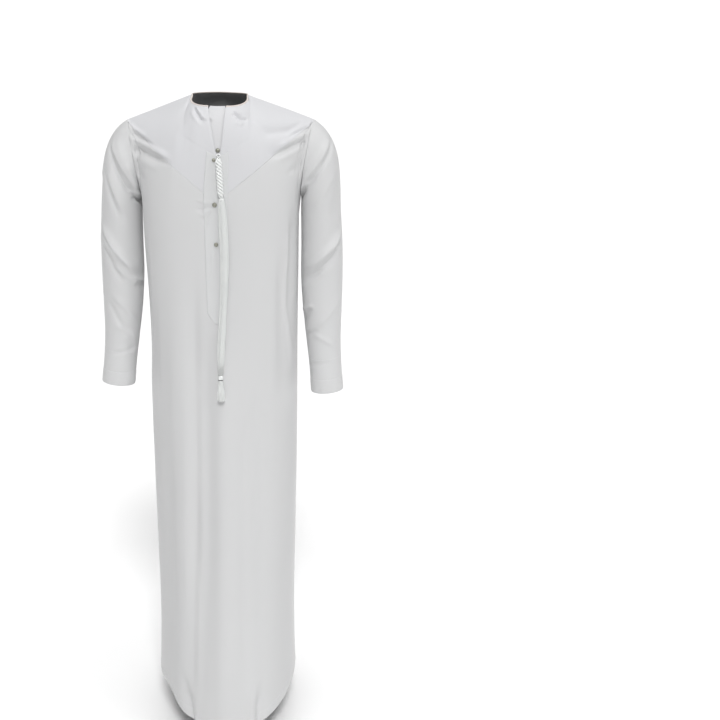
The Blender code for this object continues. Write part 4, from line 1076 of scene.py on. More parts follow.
class Wiring:
    """A material's node tree, with short ways to add its nodes."""

    def __init__(self, name):
        self.material = bpy.data.materials.new(name)
        self.material.use_nodes = True
        self.nodes = self.material.node_tree.nodes
        self.shader = self.nodes["Principled BSDF"]

    def add(self, kind, links=(), **values):
        """Adds a node. Links are (input, socket) pairs, and values are its own settings."""
        node = self.nodes.new(kind)
        for name, value in values.items():
            setattr(node, name, value)
        for name, value in links:
            self.feed(node, name, value)
        return node

    def feed(self, node, name, value):
        """Links a socket to a node's input, or sets the input's own value."""
        if isinstance(value, bpy.types.NodeSocket):
            self.material.node_tree.links.new(value, node.inputs[name])
        else:
            node.inputs[name].default_value = value

    def math(self, operation, *values):
        node = self.add("ShaderNodeMath", enumerate(values), operation=operation)
        return node.outputs[0]

    def noise(self, where, scale, detail, stretch=(1, 1, 1)):
        mapping = self.add("ShaderNodeMapping", (("Vector", where), ("Scale", stretch)))
        links = (("Vector", mapping.outputs[0]), ("Scale", scale), ("Detail", detail))
        return self.add("ShaderNodeTexNoise", links).outputs["Fac"]

    def shades(self, colour, spread, factor):
        """Mixes a darker and a lighter shade of a colour."""
        low, high = ([c * share for c in colour[:3]] + [1] for share in (1 - spread, 1 + spread))
        mix = self.add("ShaderNodeMix", data_type="RGBA")
        self.feed(mix, "Factor", factor)
        mix.inputs[6].default_value, mix.inputs[7].default_value = low, high
        return mix.outputs[2]

    def bump(self, height, distance, strength, normal=None):
        links = [("Height", height), ("Distance", distance), ("Strength", strength)]
        if normal is not None:
            links.append(("Normal", normal))
        return self.add("ShaderNodeBump", links).outputs[0]

    def surface(self, colour, normal, **own):
        """Feeds the shader's colour and normal, and sets its own values."""
        self.feed(self.shader, "Base Color", colour)
        self.feed(self.shader, "Normal", normal)
        for name, value in own.items():
            self.shader.inputs[name.replace("_", " ").title().replace("Ior", "IOR")].default_value = value
        return self.material


def cloth(name, colour):
    """Fine plain-woven cloth with a soft sheen: threads both ways, slubs, and slightly uneven colour."""
    w = Wiring(name)
    places = w.add("ShaderNodeUVMap", uv_map="weave").outputs[0]
    parts = w.add("ShaderNodeSeparateXYZ", [("Vector", places)]).outputs
    turns = 2 * math.pi / sizes().thread_spacing
    warp, weft = (w.math("SINE", w.math("MULTIPLY", parts[k], turns)) for k in (0, 1))
    threads = w.math("MULTIPLY", warp, weft)
    down = w.noise(places, scale=1.0, detail=2.0, stretch=(1500, 55, 1))
    across = w.noise(places, scale=1.0, detail=2.0, stretch=(55, 1500, 1))
    slubs = w.math("MULTIPLY", w.math("ADD", down, across), 0.5)
    slow = w.noise(w.add("ShaderNodeTexCoord").outputs["Object"], scale=6.5, detail=3.0)
    shade = w.math("ADD", w.math("MULTIPLY", slow, 0.6), w.math("MULTIPLY", slubs, 0.4))
    normal = w.bump(threads, distance=0.00006, strength=0.35)
    normal = w.bump(slubs, distance=0.0004, strength=0.20, normal=normal)
    return w.surface(
        w.shades(colour, spread=0.018, factor=shade),
        normal,
        roughness=0.56,
        specular_ior_level=0.35,
        sheen_weight=sizes().sheen,
        sheen_roughness=0.35,
    )


def thread(name, colour):
    """Twisted silky thread: fine ridges down its length."""
    w = Wiring(name)
    where = w.add("ShaderNodeTexCoord").outputs["Object"]
    ridges = w.noise(where, scale=1.0, detail=2.0, stretch=(2600, 2600, 160))
    slow = w.noise(where, scale=60.0, detail=2.0)
    shade = w.math("ADD", w.math("MULTIPLY", ridges, 0.6), w.math("MULTIPLY", slow, 0.4))
    normal = w.bump(ridges, distance=0.0002, strength=0.35)
    return w.surface(
        w.shades(colour, spread=0.05, factor=shade),
        normal,
        roughness=0.42,
        specular_ior_level=0.4,
        sheen_weight=0.2,
        sheen_roughness=0.3,
    )


def dull_metal(name, colour):
    """Cast metal with a brushed top, a little uneven in its colour and gloss."""
    w = Wiring(name)
    where = w.add("ShaderNodeTexCoord").outputs["Object"]
    grain = w.noise(where, scale=1.0, detail=3.0, stretch=(900, 5200, 900))
    spots = w.noise(where, scale=420.0, detail=3.0)
    normal = w.bump(w.math("ADD", grain, spots), distance=0.0002, strength=0.22)
    w.feed(w.shader, "Roughness", w.math("ADD", w.math("MULTIPLY", spots, 0.22), 0.38))
    return w.surface(w.shades(colour, spread=0.18, factor=spots), normal, metallic=0.60)


def pale_floor(name, colour):
    """A matt floor, very slightly mottled."""
    w = Wiring(name)
    mottle = w.noise(w.add("ShaderNodeTexCoord").outputs["Object"], scale=3.0, detail=4.0)
    normal = w.bump(mottle, distance=0.001, strength=0.05)
    return w.surface(w.shades(colour, spread=0.004, factor=mottle), normal, roughness=0.9)


# Settings


def sizes():
    return bpy.context.scene.thobe_sizes


def colours():
    return bpy.context.scene.thobe_colours


def size(name, description, default, low, high):
    return FloatProperty(
        name=name, description=description, default=default, min=low, max=high, unit="LENGTH", precision=5
    )


def colour(name, description, default):
    return FloatVectorProperty(
        name=name, description=description, default=default, size=3, min=0, max=1, subtype="COLOR"
    )


def strength(name, description, default):
    return FloatProperty(name=name, description=description, default=default, min=0, max=10)


class ThobeSizes(bpy.types.PropertyGroup):
    """Sizes of the cloth, its sewing and its tassel"""

    cloth_thickness: size("Cloth", "How thick the cloth is", 0.0009, 0.0004, 0.0012)
    thread_spacing: size("Threads", "From one thread of the weave to the next", 0.0007, 0.0003, 0.003)
    stitch_pitch: size("Stitches", "From one stitch to the next", 0.0034, 0.002, 0.008)
    thread_thickness: size("Stitch Thread", "How thick the stitching thread is", 0.00042, 0.0002, 0.001)
    sheen: FloatProperty(
        name="Sheen", description="How much sheen the cloth has", default=0.22, min=0, max=1, subtype="FACTOR"
    )
    cord_turns: FloatProperty(
        name="Cord Turns", description="How many times the tassel's cord turns", default=3.6, min=1, max=8
    )
    bundle_strands: IntProperty(
        name="Bundle Strands", description="Strands in the tassel's long bundle", default=150, min=20, max=170
    )
    brush_strands: IntProperty(
        name="End Strands", description="Strands in the tassel's flared end", default=80, min=20, max=80
    )


class ThobeColours(bpy.types.PropertyGroup):
    """Colours of the pieces"""

    body: colour("Body", "Panels and sleeves", (0.625, 0.627, 0.630))
    yoke: colour("Yoke", "The two halves of the V yoke", (0.634, 0.636, 0.652))
    placket: colour("Placket", "The strip over the front opening", (0.636, 0.642, 0.645))
    insert: colour("Insert", "The bright strip in the slit", (0.640, 0.640, 0.652))
    binding: colour("Binding", "The rolled edge round the neck", (0.68, 0.62, 0.575))
    stitches: colour("Stitches", "The stitching thread", (0.72, 0.73, 0.75))
    tassel: colour("Tassel", "The cord and its threads", (0.87, 0.885, 0.875))
    cord: colour("Cord", "The twisted cord and its loop", (0.86, 0.875, 0.865))
    button: colour("Buttons", "The metal studs", (0.34, 0.34, 0.29))
    # Painted shade: the near-black ring stands for the shadow in the gap under the winding
    tie: colour("Shade Ring", "The dark ring under the winding", (0.10, 0.10, 0.10))


class ThobeStage(bpy.types.PropertyGroup):
    """The floor and the lights"""

    floor_gap: size("Floor Gap", "From the hem down to the floor", 0.045, 0.0, 0.5)
    floor: colour("Floor", "Colour of the floor", (0.97, 0.97, 0.97))
    sky: strength("Sky", "The light from all round", 0.16)
    top: strength("Top Light", "The wide light overhead", 1.5)
    key: strength("Key Light", "The light from the front", 1.57)
    side: strength("Side Light", "The light from the wearer's left", 0.34)
    back: strength("Back Light", "The soft light from behind", 0.45)


# Finishing pieces


def finished(piece, material, slot, *nodes):
    """Dresses a piece and sets it on the frame, in place of its nodes."""
    piece.data.materials.clear()
    piece.data.materials.append(material)
    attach(piece, "root")
    if nodes:
        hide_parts(*nodes)
    return piece


def sheet(
    name, grid, rims, colour, rows=(), columns=(), around=False,
    raised=None, thickness=None,
):
    """Makes a node's cloth from its grid, and stitches some of its rows and columns."""
    points, ways, sunk = sewn(grid, rims, around, raised, thickness)
    piece = finished(shell(name, points, ways, sunk, around), cloth(name, colour), name, name)
    outer = points - ways * sunk[..., :1]
    lines = [(outer[row], ways[row]) for row in rows]
    if around:
        lines = [[np.concatenate((a, a[:1])) for a in line] for line in lines]
    lines += [(outer[LAID_LINE_FROM:, column], ways[LAID_LINE_FROM:, column]) for column in columns]
    sewing = [stitches(name.replace("_panel", "") + "_stitching", lines, name)] if lines else []


def hemmed(name, grid, line, side, rests_on, above=(0,), around=False):
    """A hung sheet with a raised band. Above lists its lines of stitches, in rows up from the band's line."""
    raised = np.zeros(len(grid))
    raised[line] = BAND_SUNK
    raised[line + 1] = BAND_RAISED * BAND_STEP
    raised[line + 2 :] = BAND_RAISED
    rows = [line + len(SEAM_EDGE) - 1 - up for up in above]
    rims = (SEAM_EDGE, PLAIN_EDGE, side, side)
    sheet(name, grid, rims, colours().body, rows, around=around, raised=raised)


def alone(piece):
    """Makes a piece the only one selected, and the active one."""
    bpy.ops.object.select_all(action="DESELECT")
    piece.select_set(True)
    bpy.context.view_layer.objects.active = piece


@contextmanager
def editing(piece):
    """Edit mode on a piece, with all of it selected."""
    alone(piece)
    bpy.ops.object.mode_set(mode="EDIT")
    bpy.ops.mesh.select_all(action="SELECT")
    yield
    bpy.ops.object.mode_set(mode="OBJECT")


def pick(piece, kind, test):
    """Selects the faces, edges or verts of the mesh in edit mode that pass a test."""
    bpy.ops.mesh.select_mode(type=kind)
    bpy.ops.mesh.select_all(action="DESELECT")
    shape = bmesh.from_edit_mesh(piece.data)
    for part in {"FACE": shape.faces, "EDGE": shape.edges, "VERT": shape.verts}[kind]:
        part.select_set(test(part))
    shape.select_flush_mode()
    bmesh.update_edit_mesh(piece.data)


def primitive(kind, **values):
    """Adds a primitive and applies its place."""
    bpy.ops.object.select_all(action="DESELECT")
    getattr(bpy.ops.mesh, f"primitive_{kind}_add")(**values)
    bpy.ops.object.transform_apply(location=True, rotation=True, scale=True)
    return bpy.context.object


def apply_all(piece):
    """Applies a piece's place, and then its modifiers."""
    alone(piece)
    bpy.ops.object.transform_apply(location=True, rotation=True, scale=True)
    for modifier in list(piece.modifiers):
        bpy.ops.object.modifier_apply(modifier=modifier.name)


def modified(piece, name, kind, **settings):
    """Adds a modifier to a piece and applies it."""
    modifier = piece.modifiers.new(name, kind)
    for setting, value in settings.items():
        setattr(modifier, setting, value)
    apply_all(piece)


def wound(piece, name, turns, length, count):
    """Winds a profile down Z and closes its ends."""
    screw = dict(angle=turns * 2 * math.pi, screw_offset=-length, steps=count, render_steps=count, axis="Z")
    modified(piece, name, "SCREW", merge_threshold=MERGED, **screw)
    with editing(piece):
        pick(piece, "EDGE", lambda edge: edge.is_boundary)
        bpy.ops.mesh.edge_face_add()


def tidy(piece, smooth_angle):
    """Merges doubles, turns the faces outwards and smooths them."""
    with editing(piece):
        bpy.ops.mesh.remove_doubles(threshold=MERGED)
        bpy.ops.mesh.normals_make_consistent(inside=False)
    bpy.ops.object.shade_smooth_by_angle(angle=math.radians(smooth_angle))
    return piece


def copied(piece, name):
    """A copy of a piece with its own mesh."""
    copy = piece.copy()
    copy.data = piece.data.copy()
    copy.name = copy.data.name = name
    bpy.context.scene.collection.objects.link(copy)
    return copy


def joined(name, pieces):
    alone(pieces[0])
    for piece in pieces[1:]:
        piece.select_set(True)
    bpy.ops.object.join()
    pieces[0].name = pieces[0].data.name = name
    return pieces[0]


def move_points(piece, change):
    """Moves a mesh's points by a function of arrays."""
    flat = np.empty(len(piece.data.vertices) * 3, dtype=np.float32)
    piece.data.vertices.foreach_get("co", flat)
    moved = change(flat.reshape(-1, 3).astype(float))
    piece.data.vertices.foreach_set("co", moved.astype(np.float32).ravel())
    piece.data.update()


def aside_of(out):
    """The way across the cloth that is square to the way out of it."""
    x = np.array((1.0, 0.0, 0.0))
    return unit(x - out * (out * x).sum(axis=-1, keepdims=True))


def hung(across, drop, half_depth):
    """Where hanging things lie in front of the cloth, with the ways aside and out there."""
    points, out = front_spot(across, drop)
    depth = LAY_GAP + WALL + TASSEL_GAP + np.asarray(half_depth)
    return points + out * depth[..., None], aside_of(out), out


def stood(piece, place, aside, out):
    """Stands a piece on the cloth, with its X aside and its Z out."""
    up = np.cross(out, aside)
    piece.matrix_world = Matrix([[aside[k], up[k], out[k], place[k]] for k in range(3)] + [[0, 0, 0, 1]])


def laid(piece, start, end, half_depth, length):
    """Lays a piece that was made down the Z axis along the front, from one place to another."""

    def change(corners):
        t = -corners[:, 2] / length
        at = steps(0, 1, HUNG_PLACES)
        route = hung(*(blend(low, high, at) for low, high in zip(start, end)), np.full(len(at), half_depth))
        middle, aside, out = (follow(values, at, t) for values in route)
        way = unit(middle[-1:] - middle[:1])
        beyond = (t - np.clip(t, 0, 1))[:, None] * way * length
        return middle + aside * corners[:, :1] - out * corners[:, 1:2] + beyond

    move_points(piece, change)


# Operators


class PieceOperator:
    """What the operators have in common."""

    bl_options = {"REGISTER", "UNDO"}


class THOBE_OT_front_panel(PieceOperator, bpy.types.Operator):
    """Hangs the front panel from the V seam and the armholes"""

    bl_idname = "thobe.front_panel"
    bl_label = "Front Panel"

    def execute(self, context):
        hemmed("front_panel", *front_grid(), SEAM_EDGE, YOKES)
        return {"FINISHED"}


class THOBE_OT_yokes(PieceOperator, bpy.types.Operator):
    """Makes both halves of the V yoke and stitches them along the V seam"""

    bl_idname = "thobe.yokes"
    bl_label = "Yokes"

    def execute(self, context):
        for hand, name in zip((1, -1), YOKES):
            rims = (SEAM_EDGE, SEAM_EDGE) + (PLAIN_EDGE, SEAM_EDGE)[::hand]
            sheet(name, yoke_grid(hand), rims, colours().yoke, rows=[-1 - STITCHED_LINE])
        return {"FINISHED"}


class THOBE_OT_back_panel(PieceOperator, bpy.types.Operator):
    """Hangs the back panel from the shoulder seams and the armholes"""

    bl_idname = "thobe.back_panel"
    bl_label = "Back Panel"

    def execute(self, context):
        hemmed("back_panel", *back_grid(), SEAM_EDGE, YOKES)
        return {"FINISHED"}


class THOBE_OT_sleeves(PieceOperator, bpy.types.Operator):
    """Sets in both sleeves and stitches their cuffs"""

    bl_idname = "thobe.sleeves"
    bl_label = "Sleeves"

    def execute(self, context):
        for hand, name in ((1, "sleeve_left"), (-1, "sleeve_right")):
            panels = ("front_panel", "back_panel")
            hemmed(name, *sleeve_grid(hand), None, panels, above=(0, SECOND_LINE_ROWS), around=True)
        return {"FINISHED"}


class THOBE_OT_slit_insert(PieceOperator, bpy.types.Operator):
    """Hangs the bright strip behind the slit"""

    bl_idname = "thobe.slit_insert"
    bl_label = "Slit Insert"

    def execute(self, context):
        outer, inner = INSERT_SHOULDER
        level, over = INSERT_MIDDLE_COLUMNS
        half = np.concatenate((steps(0, inner, level), steps(inner, outer, over)[1:], INSERT_COLUMNS))
        across = mirrored(half)
        edge = -top_edge(FRONT, np.arcsin(np.abs(across) / NECK_HALF_WIDTH) / (math.pi / 2) * AT_NECK)[:, 2]
        part = steps(0, 1, INSERT_ROWS)[:, None]
        rise = INSERT_RISE * ramp(np.abs(across), outer, inner) * np.maximum(1 - part / INSERT_RISE_PART, 0)
        drop = edge + INSERT_TOP - rise + INSERT_LENGTH * part
        points, out = front_spot(across, np.maximum(drop, edge))
        start, lower = (front_spot(across, edge + down)[0] for down in (0, INSERT_RISE_STEP))
        lean = (start - lower) / (start - lower)[..., 2:]
        grid = points + lean * np.maximum(edge - drop, 0)[..., None] - out * INSERT_SET_BACK
        sheet("slit_insert", grid, (PLAIN_EDGE,) * 4, colours().insert)
        return {"FINISHED"}


class THOBE_OT_placket(PieceOperator, bpy.types.Operator):
    """Lays the placket over the front opening"""

    bl_idname = "thobe.placket"
    bl_label = "Placket"

    def execute(self, context):
        along = steps(-1, 1, PLACKET_COLUMNS) * AT_PLACKET
        on_yoke, on_chest, on_skirt, on_tip = PLACKET_ROWS
        seam = float(v_seam(0.0))
        first = crossing(lambda part: -form(FRONT, 0.0, seam * part)[..., 2] - SLIT_END_DROP, np.zeros(()))
        yoke = yoke_points(along, steps(float(first), 1, on_yoke)[:, None])
        chest = body(FRONT, along, blend(v_seam(along), 1.0, steps(0, 1, on_chest)[1:, None]))
        skirt = steps(0, PLACKET_SHOULDER, on_skirt)[1:]
        tip = steps(PLACKET_SHOULDER, PLACKET_TIP, on_tip)[1:]
        narrowed = blend(1.0, PLACKET_TIP_WIDTH, (tip - PLACKET_SHOULDER) / (PLACKET_TIP - PLACKET_SHOULDER))
        down = np.concatenate((skirt, tip))[:, None]
        width = np.concatenate((np.ones(len(skirt)), narrowed))[:, None]
        grid = np.concatenate((yoke, chest, body(FRONT, along * width, 1 + down)))
        sheet(
            "placket",
            grid + grid_ways(grid, False) * LAID_HEIGHT,
            (LAID_EDGE,) * 4,
            colours().placket,
            columns=(LAID_LINE, -1 - LAID_LINE),
            thickness=LAID_THICKNESS,
        )
        return {"FINISHED"}


class THOBE_OT_neck_binding(PieceOperator, bpy.types.Operator):
    """Rolls the binding over the neck's edge"""

    bl_idname = "thobe.neck_binding"
    bl_label = "Neck Binding"

    def round_neck(self, part):
        """A line round the neck, from the slit round the back, at a part of the way down the panels."""
        half = steps(0, AT_NECK, BINDING_COLUMNS)
        left = yoke_points(np.maximum(half, SLIT_SIDE), part)
        back = body(BACK, mirrored(half)[::-1], part)[1:-1]
        return np.concatenate((left, back, yoke_points(-half[::-1] - SLIT_SIDE, part)))

    def execute(self, context):
        edge = self.round_neck(0.0)
        ahead = unit(np.gradient(edge, axis=0))
        up = edge - self.round_neck(BINDING_BELOW)
        for _ in range(BINDING_ROUNDS):
            up[1:-1] = (up[:-2] + up[1:-1] * 2 + up[2:]) / 4
        up = unit(up - ahead * (up * ahead).sum(axis=-1, keepdims=True))
        out = np.cross(ahead, up)
        grid = np.stack([edge + up * rise + out * reach for rise, reach in BINDING])
        sheet(
            "neck_binding",
            grid,
            (PLAIN_EDGE,) * 4,
            colours().binding,
            thickness=BINDING_THICKNESS,
        )
        return {"FINISHED"}


class THOBE_OT_buttons(PieceOperator, bpy.types.Operator):
    """Makes one domed stud and sets a copy at each button's place"""

    bl_idname = "thobe.buttons"
    bl_label = "Buttons"

    def stud(self):
        """A stud of the first button's size, its underside at Z 0: a rimmed disc, a groove and a dome."""
        radius, rim = STUDS[0].radius, STUD_HEIGHT * STUD_RIM
        piece = primitive("cylinder", vertices=40, radius=radius, depth=rim, location=(0, 0, rim / 2))
        with editing(piece):
            pick(piece, "FACE", lambda face: face.normal.z > 0.9)
            for inset, rise in STUD_TURNING:
                bpy.ops.mesh.inset(thickness=radius * inset)
                bpy.ops.transform.translate(value=(0, 0, STUD_HEIGHT * rise))
            pick(piece, "FACE", lambda face: face.normal.z < -0.9)
            bpy.ops.mesh.inset(thickness=radius * STUD_SHANK_INSET)
            bpy.ops.mesh.extrude_region_move(TRANSFORM_OT_translate={"value": (0, 0, -STUD_SHANK)})
        sharp = dict(segments=2, limit_method="ANGLE", angle_limit=math.radians(30))
        modified(piece, "Worn Edges", "BEVEL", width=STUD_WORN, **sharp)
        return tidy(piece, smooth_angle=50)

    def execute(self, context):
        model = self.stud()
        for stud in STUDS:
            piece = copied(model, stud.name)
            point, out = front_spot(stud.across, stud.drop)
            on_insert = stud.drop < SLIT_END_DROP
            base = LAY_GAP - INSERT_SET_BACK if on_insert else LAY_GAP * 2 + WALL
            stood(piece, point + out * base, aside_of(out), out)
            piece.scale = [stud.radius / STUDS[0].radius] * 3
            apply_all(piece)
            finished(piece, dull_metal(stud.name, colours().button), stud.name, stud.name)
        bpy.data.objects.remove(model)
        return {"FINISHED"}


class THOBE_OT_cord_loop(PieceOperator, bpy.types.Operator):
    """Makes the small loop that holds the cord, with the knot under it"""

    bl_idname = "thobe.cord_loop"
    bl_label = "Cord Loop"

    def ring(self, radius, thick, around, through, **place):
        """A torus, with how many divisions it has round its middle and round its cord."""
        sizes = dict(major_radius=radius, minor_radius=thick, major_segments=around, minor_segments=through)
        return primitive("torus", **sizes, **place)

    def execute(self, context):
        loop = self.ring(LOOP_RADIUS, LOOP_CORD, around=48, through=12)
        with editing(loop):
            for below, narrower in LOOP_PINCHES:
                pick(loop, "VERT", lambda corner: corner.co.y < -LOOP_RADIUS * below)
                bpy.ops.transform.resize(value=(narrower, 1, 1), center_override=(0, 0, 0))
        under = (0, -LOOP_RADIUS * LOOP_KNOT_DOWN, 0)
        knot = self.ring(*LOOP_KNOT, around=28, through=10, location=under, rotation=LOOP_KNOT_TURN)
        piece = joined("cord_loop_dressed", [loop, knot])
        middle, aside, out = (a[0] for a in hung([LOOP_AT[0]], [LOOP_AT[1]], [LOOP_CORD]))
        stood(piece, middle, aside, out)
        apply_all(piece)
        tidy(piece, smooth_angle=80)
        finished(piece, thread("cord_loop", colours().cord), "cord_loop", "cord_loop")
        return {"FINISHED"}


class THOBE_OT_tassel_cord(PieceOperator, bpy.types.Operator):
    """Twists three plies into the tassel's cord"""

    bl_idname = "thobe.tassel_cord"
    bl_label = "Tassel Cord"

    def execute(self, context):
        length = math.dist(CORD_TOP, CORD_END)
        middle = (CORD_RADIUS * PLY_OFF, 0, 0)
        profile = dict(radius=CORD_RADIUS * PLY_RADIUS, location=middle, rotation=(math.pi / 2, 0, 0))
        first = primitive("circle", vertices=24, **profile)
        with editing(first):
            pick(first, "VERT", lambda corner: corner.index % 3 == 0)
            bpy.ops.transform.resize(value=[PLY_GROOVES] * 3, center_override=middle)
        wound(first, "Twist", sizes().cord_turns, length, PLY_STEPS)
        plies = [first]
        for k in range(1, CORD_PLIES):
            ply = copied(first, "ply")
            ply.rotation_euler.z = k / CORD_PLIES * 2 * math.pi
            apply_all(ply)
            plies.append(ply)
        piece = joined("tassel_cord_dressed", plies)

        def slimmer(corners):
            share = -corners[:, 2] / length
            inner = ramp(share, 0, CORD_SLIM_TO[0]) * ramp(share, 1, CORD_SLIM_TO[1])
            size = CORD_SLIM + (1 - CORD_SLIM) * inner
            return corners * np.stack((size, size, np.ones_like(size)), axis=-1)

        move_points(piece, slimmer)
        laid(piece, CORD_TOP, CORD_END, CORD_RADIUS, length)
        tidy(piece, smooth_angle=60)
        finished(piece, thread("tassel_cord", colours().cord), "tassel_cord", "tassel_cord")
        return {"FINISHED"}


def strand():
    """One strand, 1 long down Z and 1 in radius: a four-sided rod, cut into lengths."""
    piece = primitive("cylinder", vertices=4, radius=1, depth=1, location=(0, 0, -0.5))
    with editing(piece):
        for part in STRAND_CUTS:
            bpy.ops.mesh.select_all(action="SELECT")
            bpy.ops.mesh.bisect(plane_co=(0, 0, -part), plane_no=(0, 0, 1))
        bpy.ops.mesh.select_all(action="SELECT")
        bpy.ops.mesh.normals_make_consistent(inside=False)
    return piece


def bunch(name, outline, top, end, count, root, uneven=0.0):
    """A rooted bunch of separate strands that follow its outline, under a small round head."""
    model = strand()
    shape = np.array([corner.co for corner in model.data.vertices])
    faces = [list(face.vertices) for face in model.data.polygons]
    bpy.data.objects.remove(model)
    at = steps(0, 1, BUNCH_PLACES)
    half_width, half_depth = read(outline, "half_width", at), read(outline, "half_depth", at)
    middle, aside, out = hung(read(outline, "across", at), blend(top, end, at), half_depth)

    def place(part, u, v):
        """Places at parts of the way down, u aside and v out in terms of the outline."""
        wide, deep = (np.interp(part, at, half) for half in (half_width, half_depth))
        return follow(middle, at, part) + offset(part, u * wide, v * deep)

    def offset(part, x, y):
        return follow(aside, at, part) * x[:, None] + follow(out, at, part) * y[:, None]

    mean = np.sqrt(half_width * half_depth)
    rng = np.random.default_rng(len(name) + count)
    corners, polygons = [], []
    for k in range(count):
        reach = STRANDS_WITHIN * math.sqrt((k + 0.5) / count)
        turn = k * math.pi * (3 - math.sqrt(5))
        u, v = reach * math.cos(turn), reach * math.sin(turn)
        last = 1 - uneven * rng.random()
        part = root + (last - root) * -shape[:, 2]
        sway = STRAND_SWAY * np.sin(part * 9 + u * 2.5 + 1) * np.sin(part * math.pi)
        room = np.interp(part, at, mean) * math.sqrt(math.pi / count) * 0.5 * STRAND_FILL
        spin = k * STRAND_SPIN
        x = (shape[:, 0] * math.cos(spin) - shape[:, 1] * math.sin(spin)) * room
        y = (shape[:, 0] * math.sin(spin) + shape[:, 1] * math.cos(spin)) * room
        corners.append(place(part, u + sway, np.full_like(part, v)) + offset(part, x, y))
        polygons += [[corner + k * len(shape) for corner in face] for face in faces]
    first = count * len(shape)
    turn = np.arange(HEAD_SIDES) / HEAD_SIDES * 2 * math.pi
    for ring, (part, size) in enumerate(HEAD):
        ridge = size * (1 - HEAD_RIDGES * (np.arange(HEAD_SIDES) % 2))
        where = np.full(HEAD_SIDES, part / HEAD[-1][0] * (root + HEAD_BELOW))
        corners.append(place(where, np.cos(turn) * ridge, np.sin(turn) * ridge))
        start = first + ring * HEAD_SIDES
        above = start - HEAD_SIDES
        for i in range(HEAD_SIDES if ring else 0):
            j = (i + 1) % HEAD_SIDES
            polygons.append([above + i, above + j, start + j, start + i])
    polygons += [list(range(first, first + HEAD_SIDES)), list(range(start, start + HEAD_SIDES))]
    mesh = bpy.data.meshes.new(name)
    mesh.from_pydata(np.concatenate(corners).tolist(), [], polygons)
    piece = bpy.data.objects.new(name + "_dressed", mesh)
    bpy.context.scene.collection.objects.link(piece)
    tidy(piece, smooth_angle=180)
    finished(piece, thread(name, colours().tassel), name, name)


class THOBE_OT_tassel_threads(PieceOperator, bpy.types.Operator):
    """Hangs the tassel's long bundle of threads"""

    bl_idname = "thobe.tassel_threads"
    bl_label = "Tassel Threads"

    def execute(self, context):
        bunch("tassel_threads", BUNDLE, BUNDLE_TOP, BUNDLE_END, sizes().bundle_strands, BUNDLE_ROOT)
        return {"FINISHED"}


class THOBE_OT_tassel_wrap(PieceOperator, bpy.types.Operator):
    """Winds thread round the bundle's lower end, over a near-black ring that is painted shade of the gap
    below it
    """

    bl_idname = "thobe.tassel_wrap"
    bl_label = "Tassel Winding"

    def flattened(self, piece, deep, high, level, length, half_depth):
        """Flattens a round piece and lays it in the winding's place."""
        with editing(piece):
            bpy.ops.transform.resize(value=(1, deep, high), center_override=(0, 0, level))
        laid(piece, (BRUSH[0].across, WRAP_TOP), (BRUSH[0].across, WRAP_END), half_depth, length)
        return piece

    def execute(self, context):
        length = WRAP_END - WRAP_TOP
        thick = length / WRAP_TURNS / 2
        wide, deep = BRUSH[0].half_width * WRAP_OVER, BRUSH[0].half_depth * WRAP_OVER
        middle = (wide - thick, 0, 0)
        profile = dict(radius=thick * WRAP_THREAD, location=middle, rotation=(math.pi / 2, 0, 0))
        winding = primitive("circle", vertices=12, **profile)
        wound(winding, "Wind", WRAP_TURNS, length, WRAP_TURNS * WRAP_STEPS)
        high = dict(depth=length + WRAP_CORE_OVER, location=(0, 0, -length / 2))
        core = primitive("cylinder", vertices=36, radius=wide - thick, **high)
        modified(core, "Round", "BEVEL", width=WRAP_CORE_ROUND, segments=3, limit_method="ANGLE")
        piece = joined("tassel_wrap_dressed", [winding, core])
        self.flattened(piece, deep / wide, 1, 0, length, deep)
        tidy(piece, smooth_angle=60)
        finished(piece, thread("tassel_wrap", colours().tassel), "tassel_wrap", "tassel_wrap")

        # The near-black ring is painted shade: it stands for the shadow in the gap between the winding and
        # the flared end
        ring = dict(major_segments=40, minor_segments=10, location=(0, 0, -length))
        tie = primitive("torus", major_radius=wide * SHADE_RING_RADIUS, minor_radius=SHADE_RING_CORD, **ring)
        tie.name = tie.data.name = "tassel_tie"
        self.flattened(tie, deep / wide, SHADE_RING_HEIGHT, -length, length, deep)
        tidy(tie, smooth_angle=80)
        finished(tie, thread("tassel_tie", colours().tie), "tassel_wrap")
        return {"FINISHED"}


class THOBE_OT_tassel_end(PieceOperator, bpy.types.Operator):
    """Flares the tassel's brush end"""

    bl_idname = "thobe.tassel_end"
    bl_label = "Tassel End"

    def execute(self, context):
        bunch("tassel_end", BRUSH, BRUSH_TOP, BRUSH_END, sizes().brush_strands, BRUSH_ROOT, BRUSH_UNEVEN)
        return {"FINISHED"}


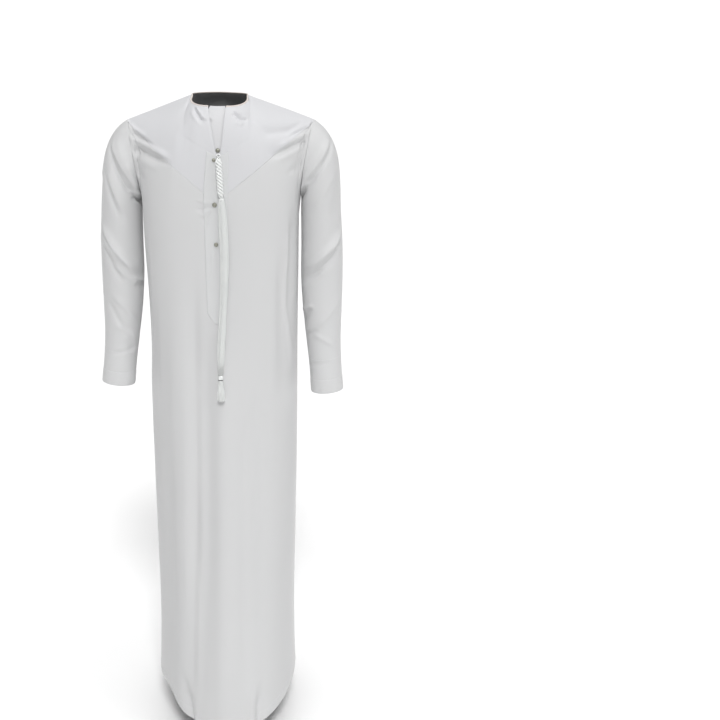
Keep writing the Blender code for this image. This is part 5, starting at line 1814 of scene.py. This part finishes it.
class THOBE_OT_stage(PieceOperator, bpy.types.Operator):
    """Lays the floor, and sets up the lights and the camera"""

    bl_idname = "thobe.stage"
    bl_label = "Stage"

    def light(self, lamp, power):
        """Adds a wide, even light that shines from its lamp's bearing and height."""
        bpy.ops.object.light_add(type="SUN")
        light = bpy.context.object
        light.name = light.data.name = lamp.name
        light.data.angle, light.data.energy = math.radians(lamp.spread), power
        light.rotation_euler = (math.radians(90 - lamp.height), 0, math.radians(lamp.round_it))

    def world(self, light):
        """A white background, which gives less light than it shows."""
        world = bpy.data.worlds.new("studio")
        world.use_nodes = True
        nodes, links = world.node_tree.nodes, world.node_tree.links
        nodes["Background"].inputs["Color"].default_value = (1, 1, 1, 1)
        seen, power = nodes.new("ShaderNodeLightPath"), nodes.new("ShaderNodeMapRange")
        power.inputs["To Min"].default_value, power.inputs["To Max"].default_value = light, 1
        links.new(seen.outputs["Is Camera Ray"], power.inputs["Value"])
        links.new(power.outputs["Result"], nodes["Background"].inputs["Strength"])
        return world

    def camera(self):
        bpy.ops.object.camera_add()
        camera = bpy.context.object
        camera.name = camera.data.name = "camera"
        azimuth, yaw, tilt, roll = np.radians((CAMERA_ROUND, CAMERA_YAW, CAMERA_TILT, CAMERA_ROLL))
        place = Vector((CAMERA_AWAY * math.sin(azimuth), -CAMERA_AWAY * math.cos(azimuth), CAMERA_HEIGHT))
        turn = Matrix.Rotation(azimuth - yaw, 3, "Z") @ Matrix.Rotation(math.pi / 2 - tilt, 3, "X")
        turn = turn @ Matrix.Rotation(roll, 3, "Z")
        camera.matrix_world = Matrix.Translation(place) @ turn.to_4x4()
        camera.data.sensor_width = 36
        camera.data.lens = CAMERA_LENS
        camera.data.clip_end = 500
        return camera

    def execute(self, context):
        stage = context.scene.thobe_stage
        low = min(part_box(name)[0].z for name in ("front_panel", "back_panel"))
        floor = primitive("plane", size=FLOOR_SIZE)
        floor.name = floor.data.name = "floor"
        move_points(floor, lambda corners: corners + np.array((0, FLOOR_BACK, low - stage.floor_gap)))
        floor.data.materials.append(pale_floor("floor", stage.floor))
        for lamp in LAMPS:
            self.light(lamp, getattr(stage, lamp.name))
        context.scene.world = self.world(stage.sky)
        context.scene.view_settings.view_transform = "Standard"
        context.scene.camera = self.camera()
        return {"FINISHED"}


class THOBE_PT_sidebar(bpy.types.Panel):
    """Lists the pieces, and the sizes and colours that they take"""

    bl_idname = "THOBE_PT_sidebar"
    bl_label = "Thobe Robe"
    bl_space_type = "VIEW_3D"
    bl_region_type = "UI"
    bl_category = "Thobe"

    def draw(self, context):
        for group in (context.scene.thobe_sizes, context.scene.thobe_colours, context.scene.thobe_stage):
            box = self.layout.box()
            for name in group.bl_rna.properties.keys():
                if name not in ("rna_type", "name"):
                    box.prop(group, name)
        column = self.layout.column(align=True)
        for operator in OPERATORS:
            column.operator(operator.bl_idname)


GROUPS = (ThobeSizes, ThobeColours, ThobeStage)
OPERATORS = tuple(PieceOperator.__subclasses__())  # in the order in which they are written


def register():
    for kind in GROUPS + OPERATORS + (THOBE_PT_sidebar,):
        bpy.utils.register_class(kind)
    bpy.types.Scene.thobe_sizes = PointerProperty(type=ThobeSizes)
    bpy.types.Scene.thobe_colours = PointerProperty(type=ThobeColours)
    bpy.types.Scene.thobe_stage = PointerProperty(type=ThobeStage)


def unregister():
    del bpy.types.Scene.thobe_sizes, bpy.types.Scene.thobe_colours, bpy.types.Scene.thobe_stage
    for kind in reversed(GROUPS + OPERATORS + (THOBE_PT_sidebar,)):
        bpy.utils.unregister_class(kind)


def main():
    register()
    for operator in OPERATORS:
        group, name = operator.bl_idname.split(".")
        getattr(getattr(bpy.ops, group), name)()


if __name__ == "__main__":
    main()
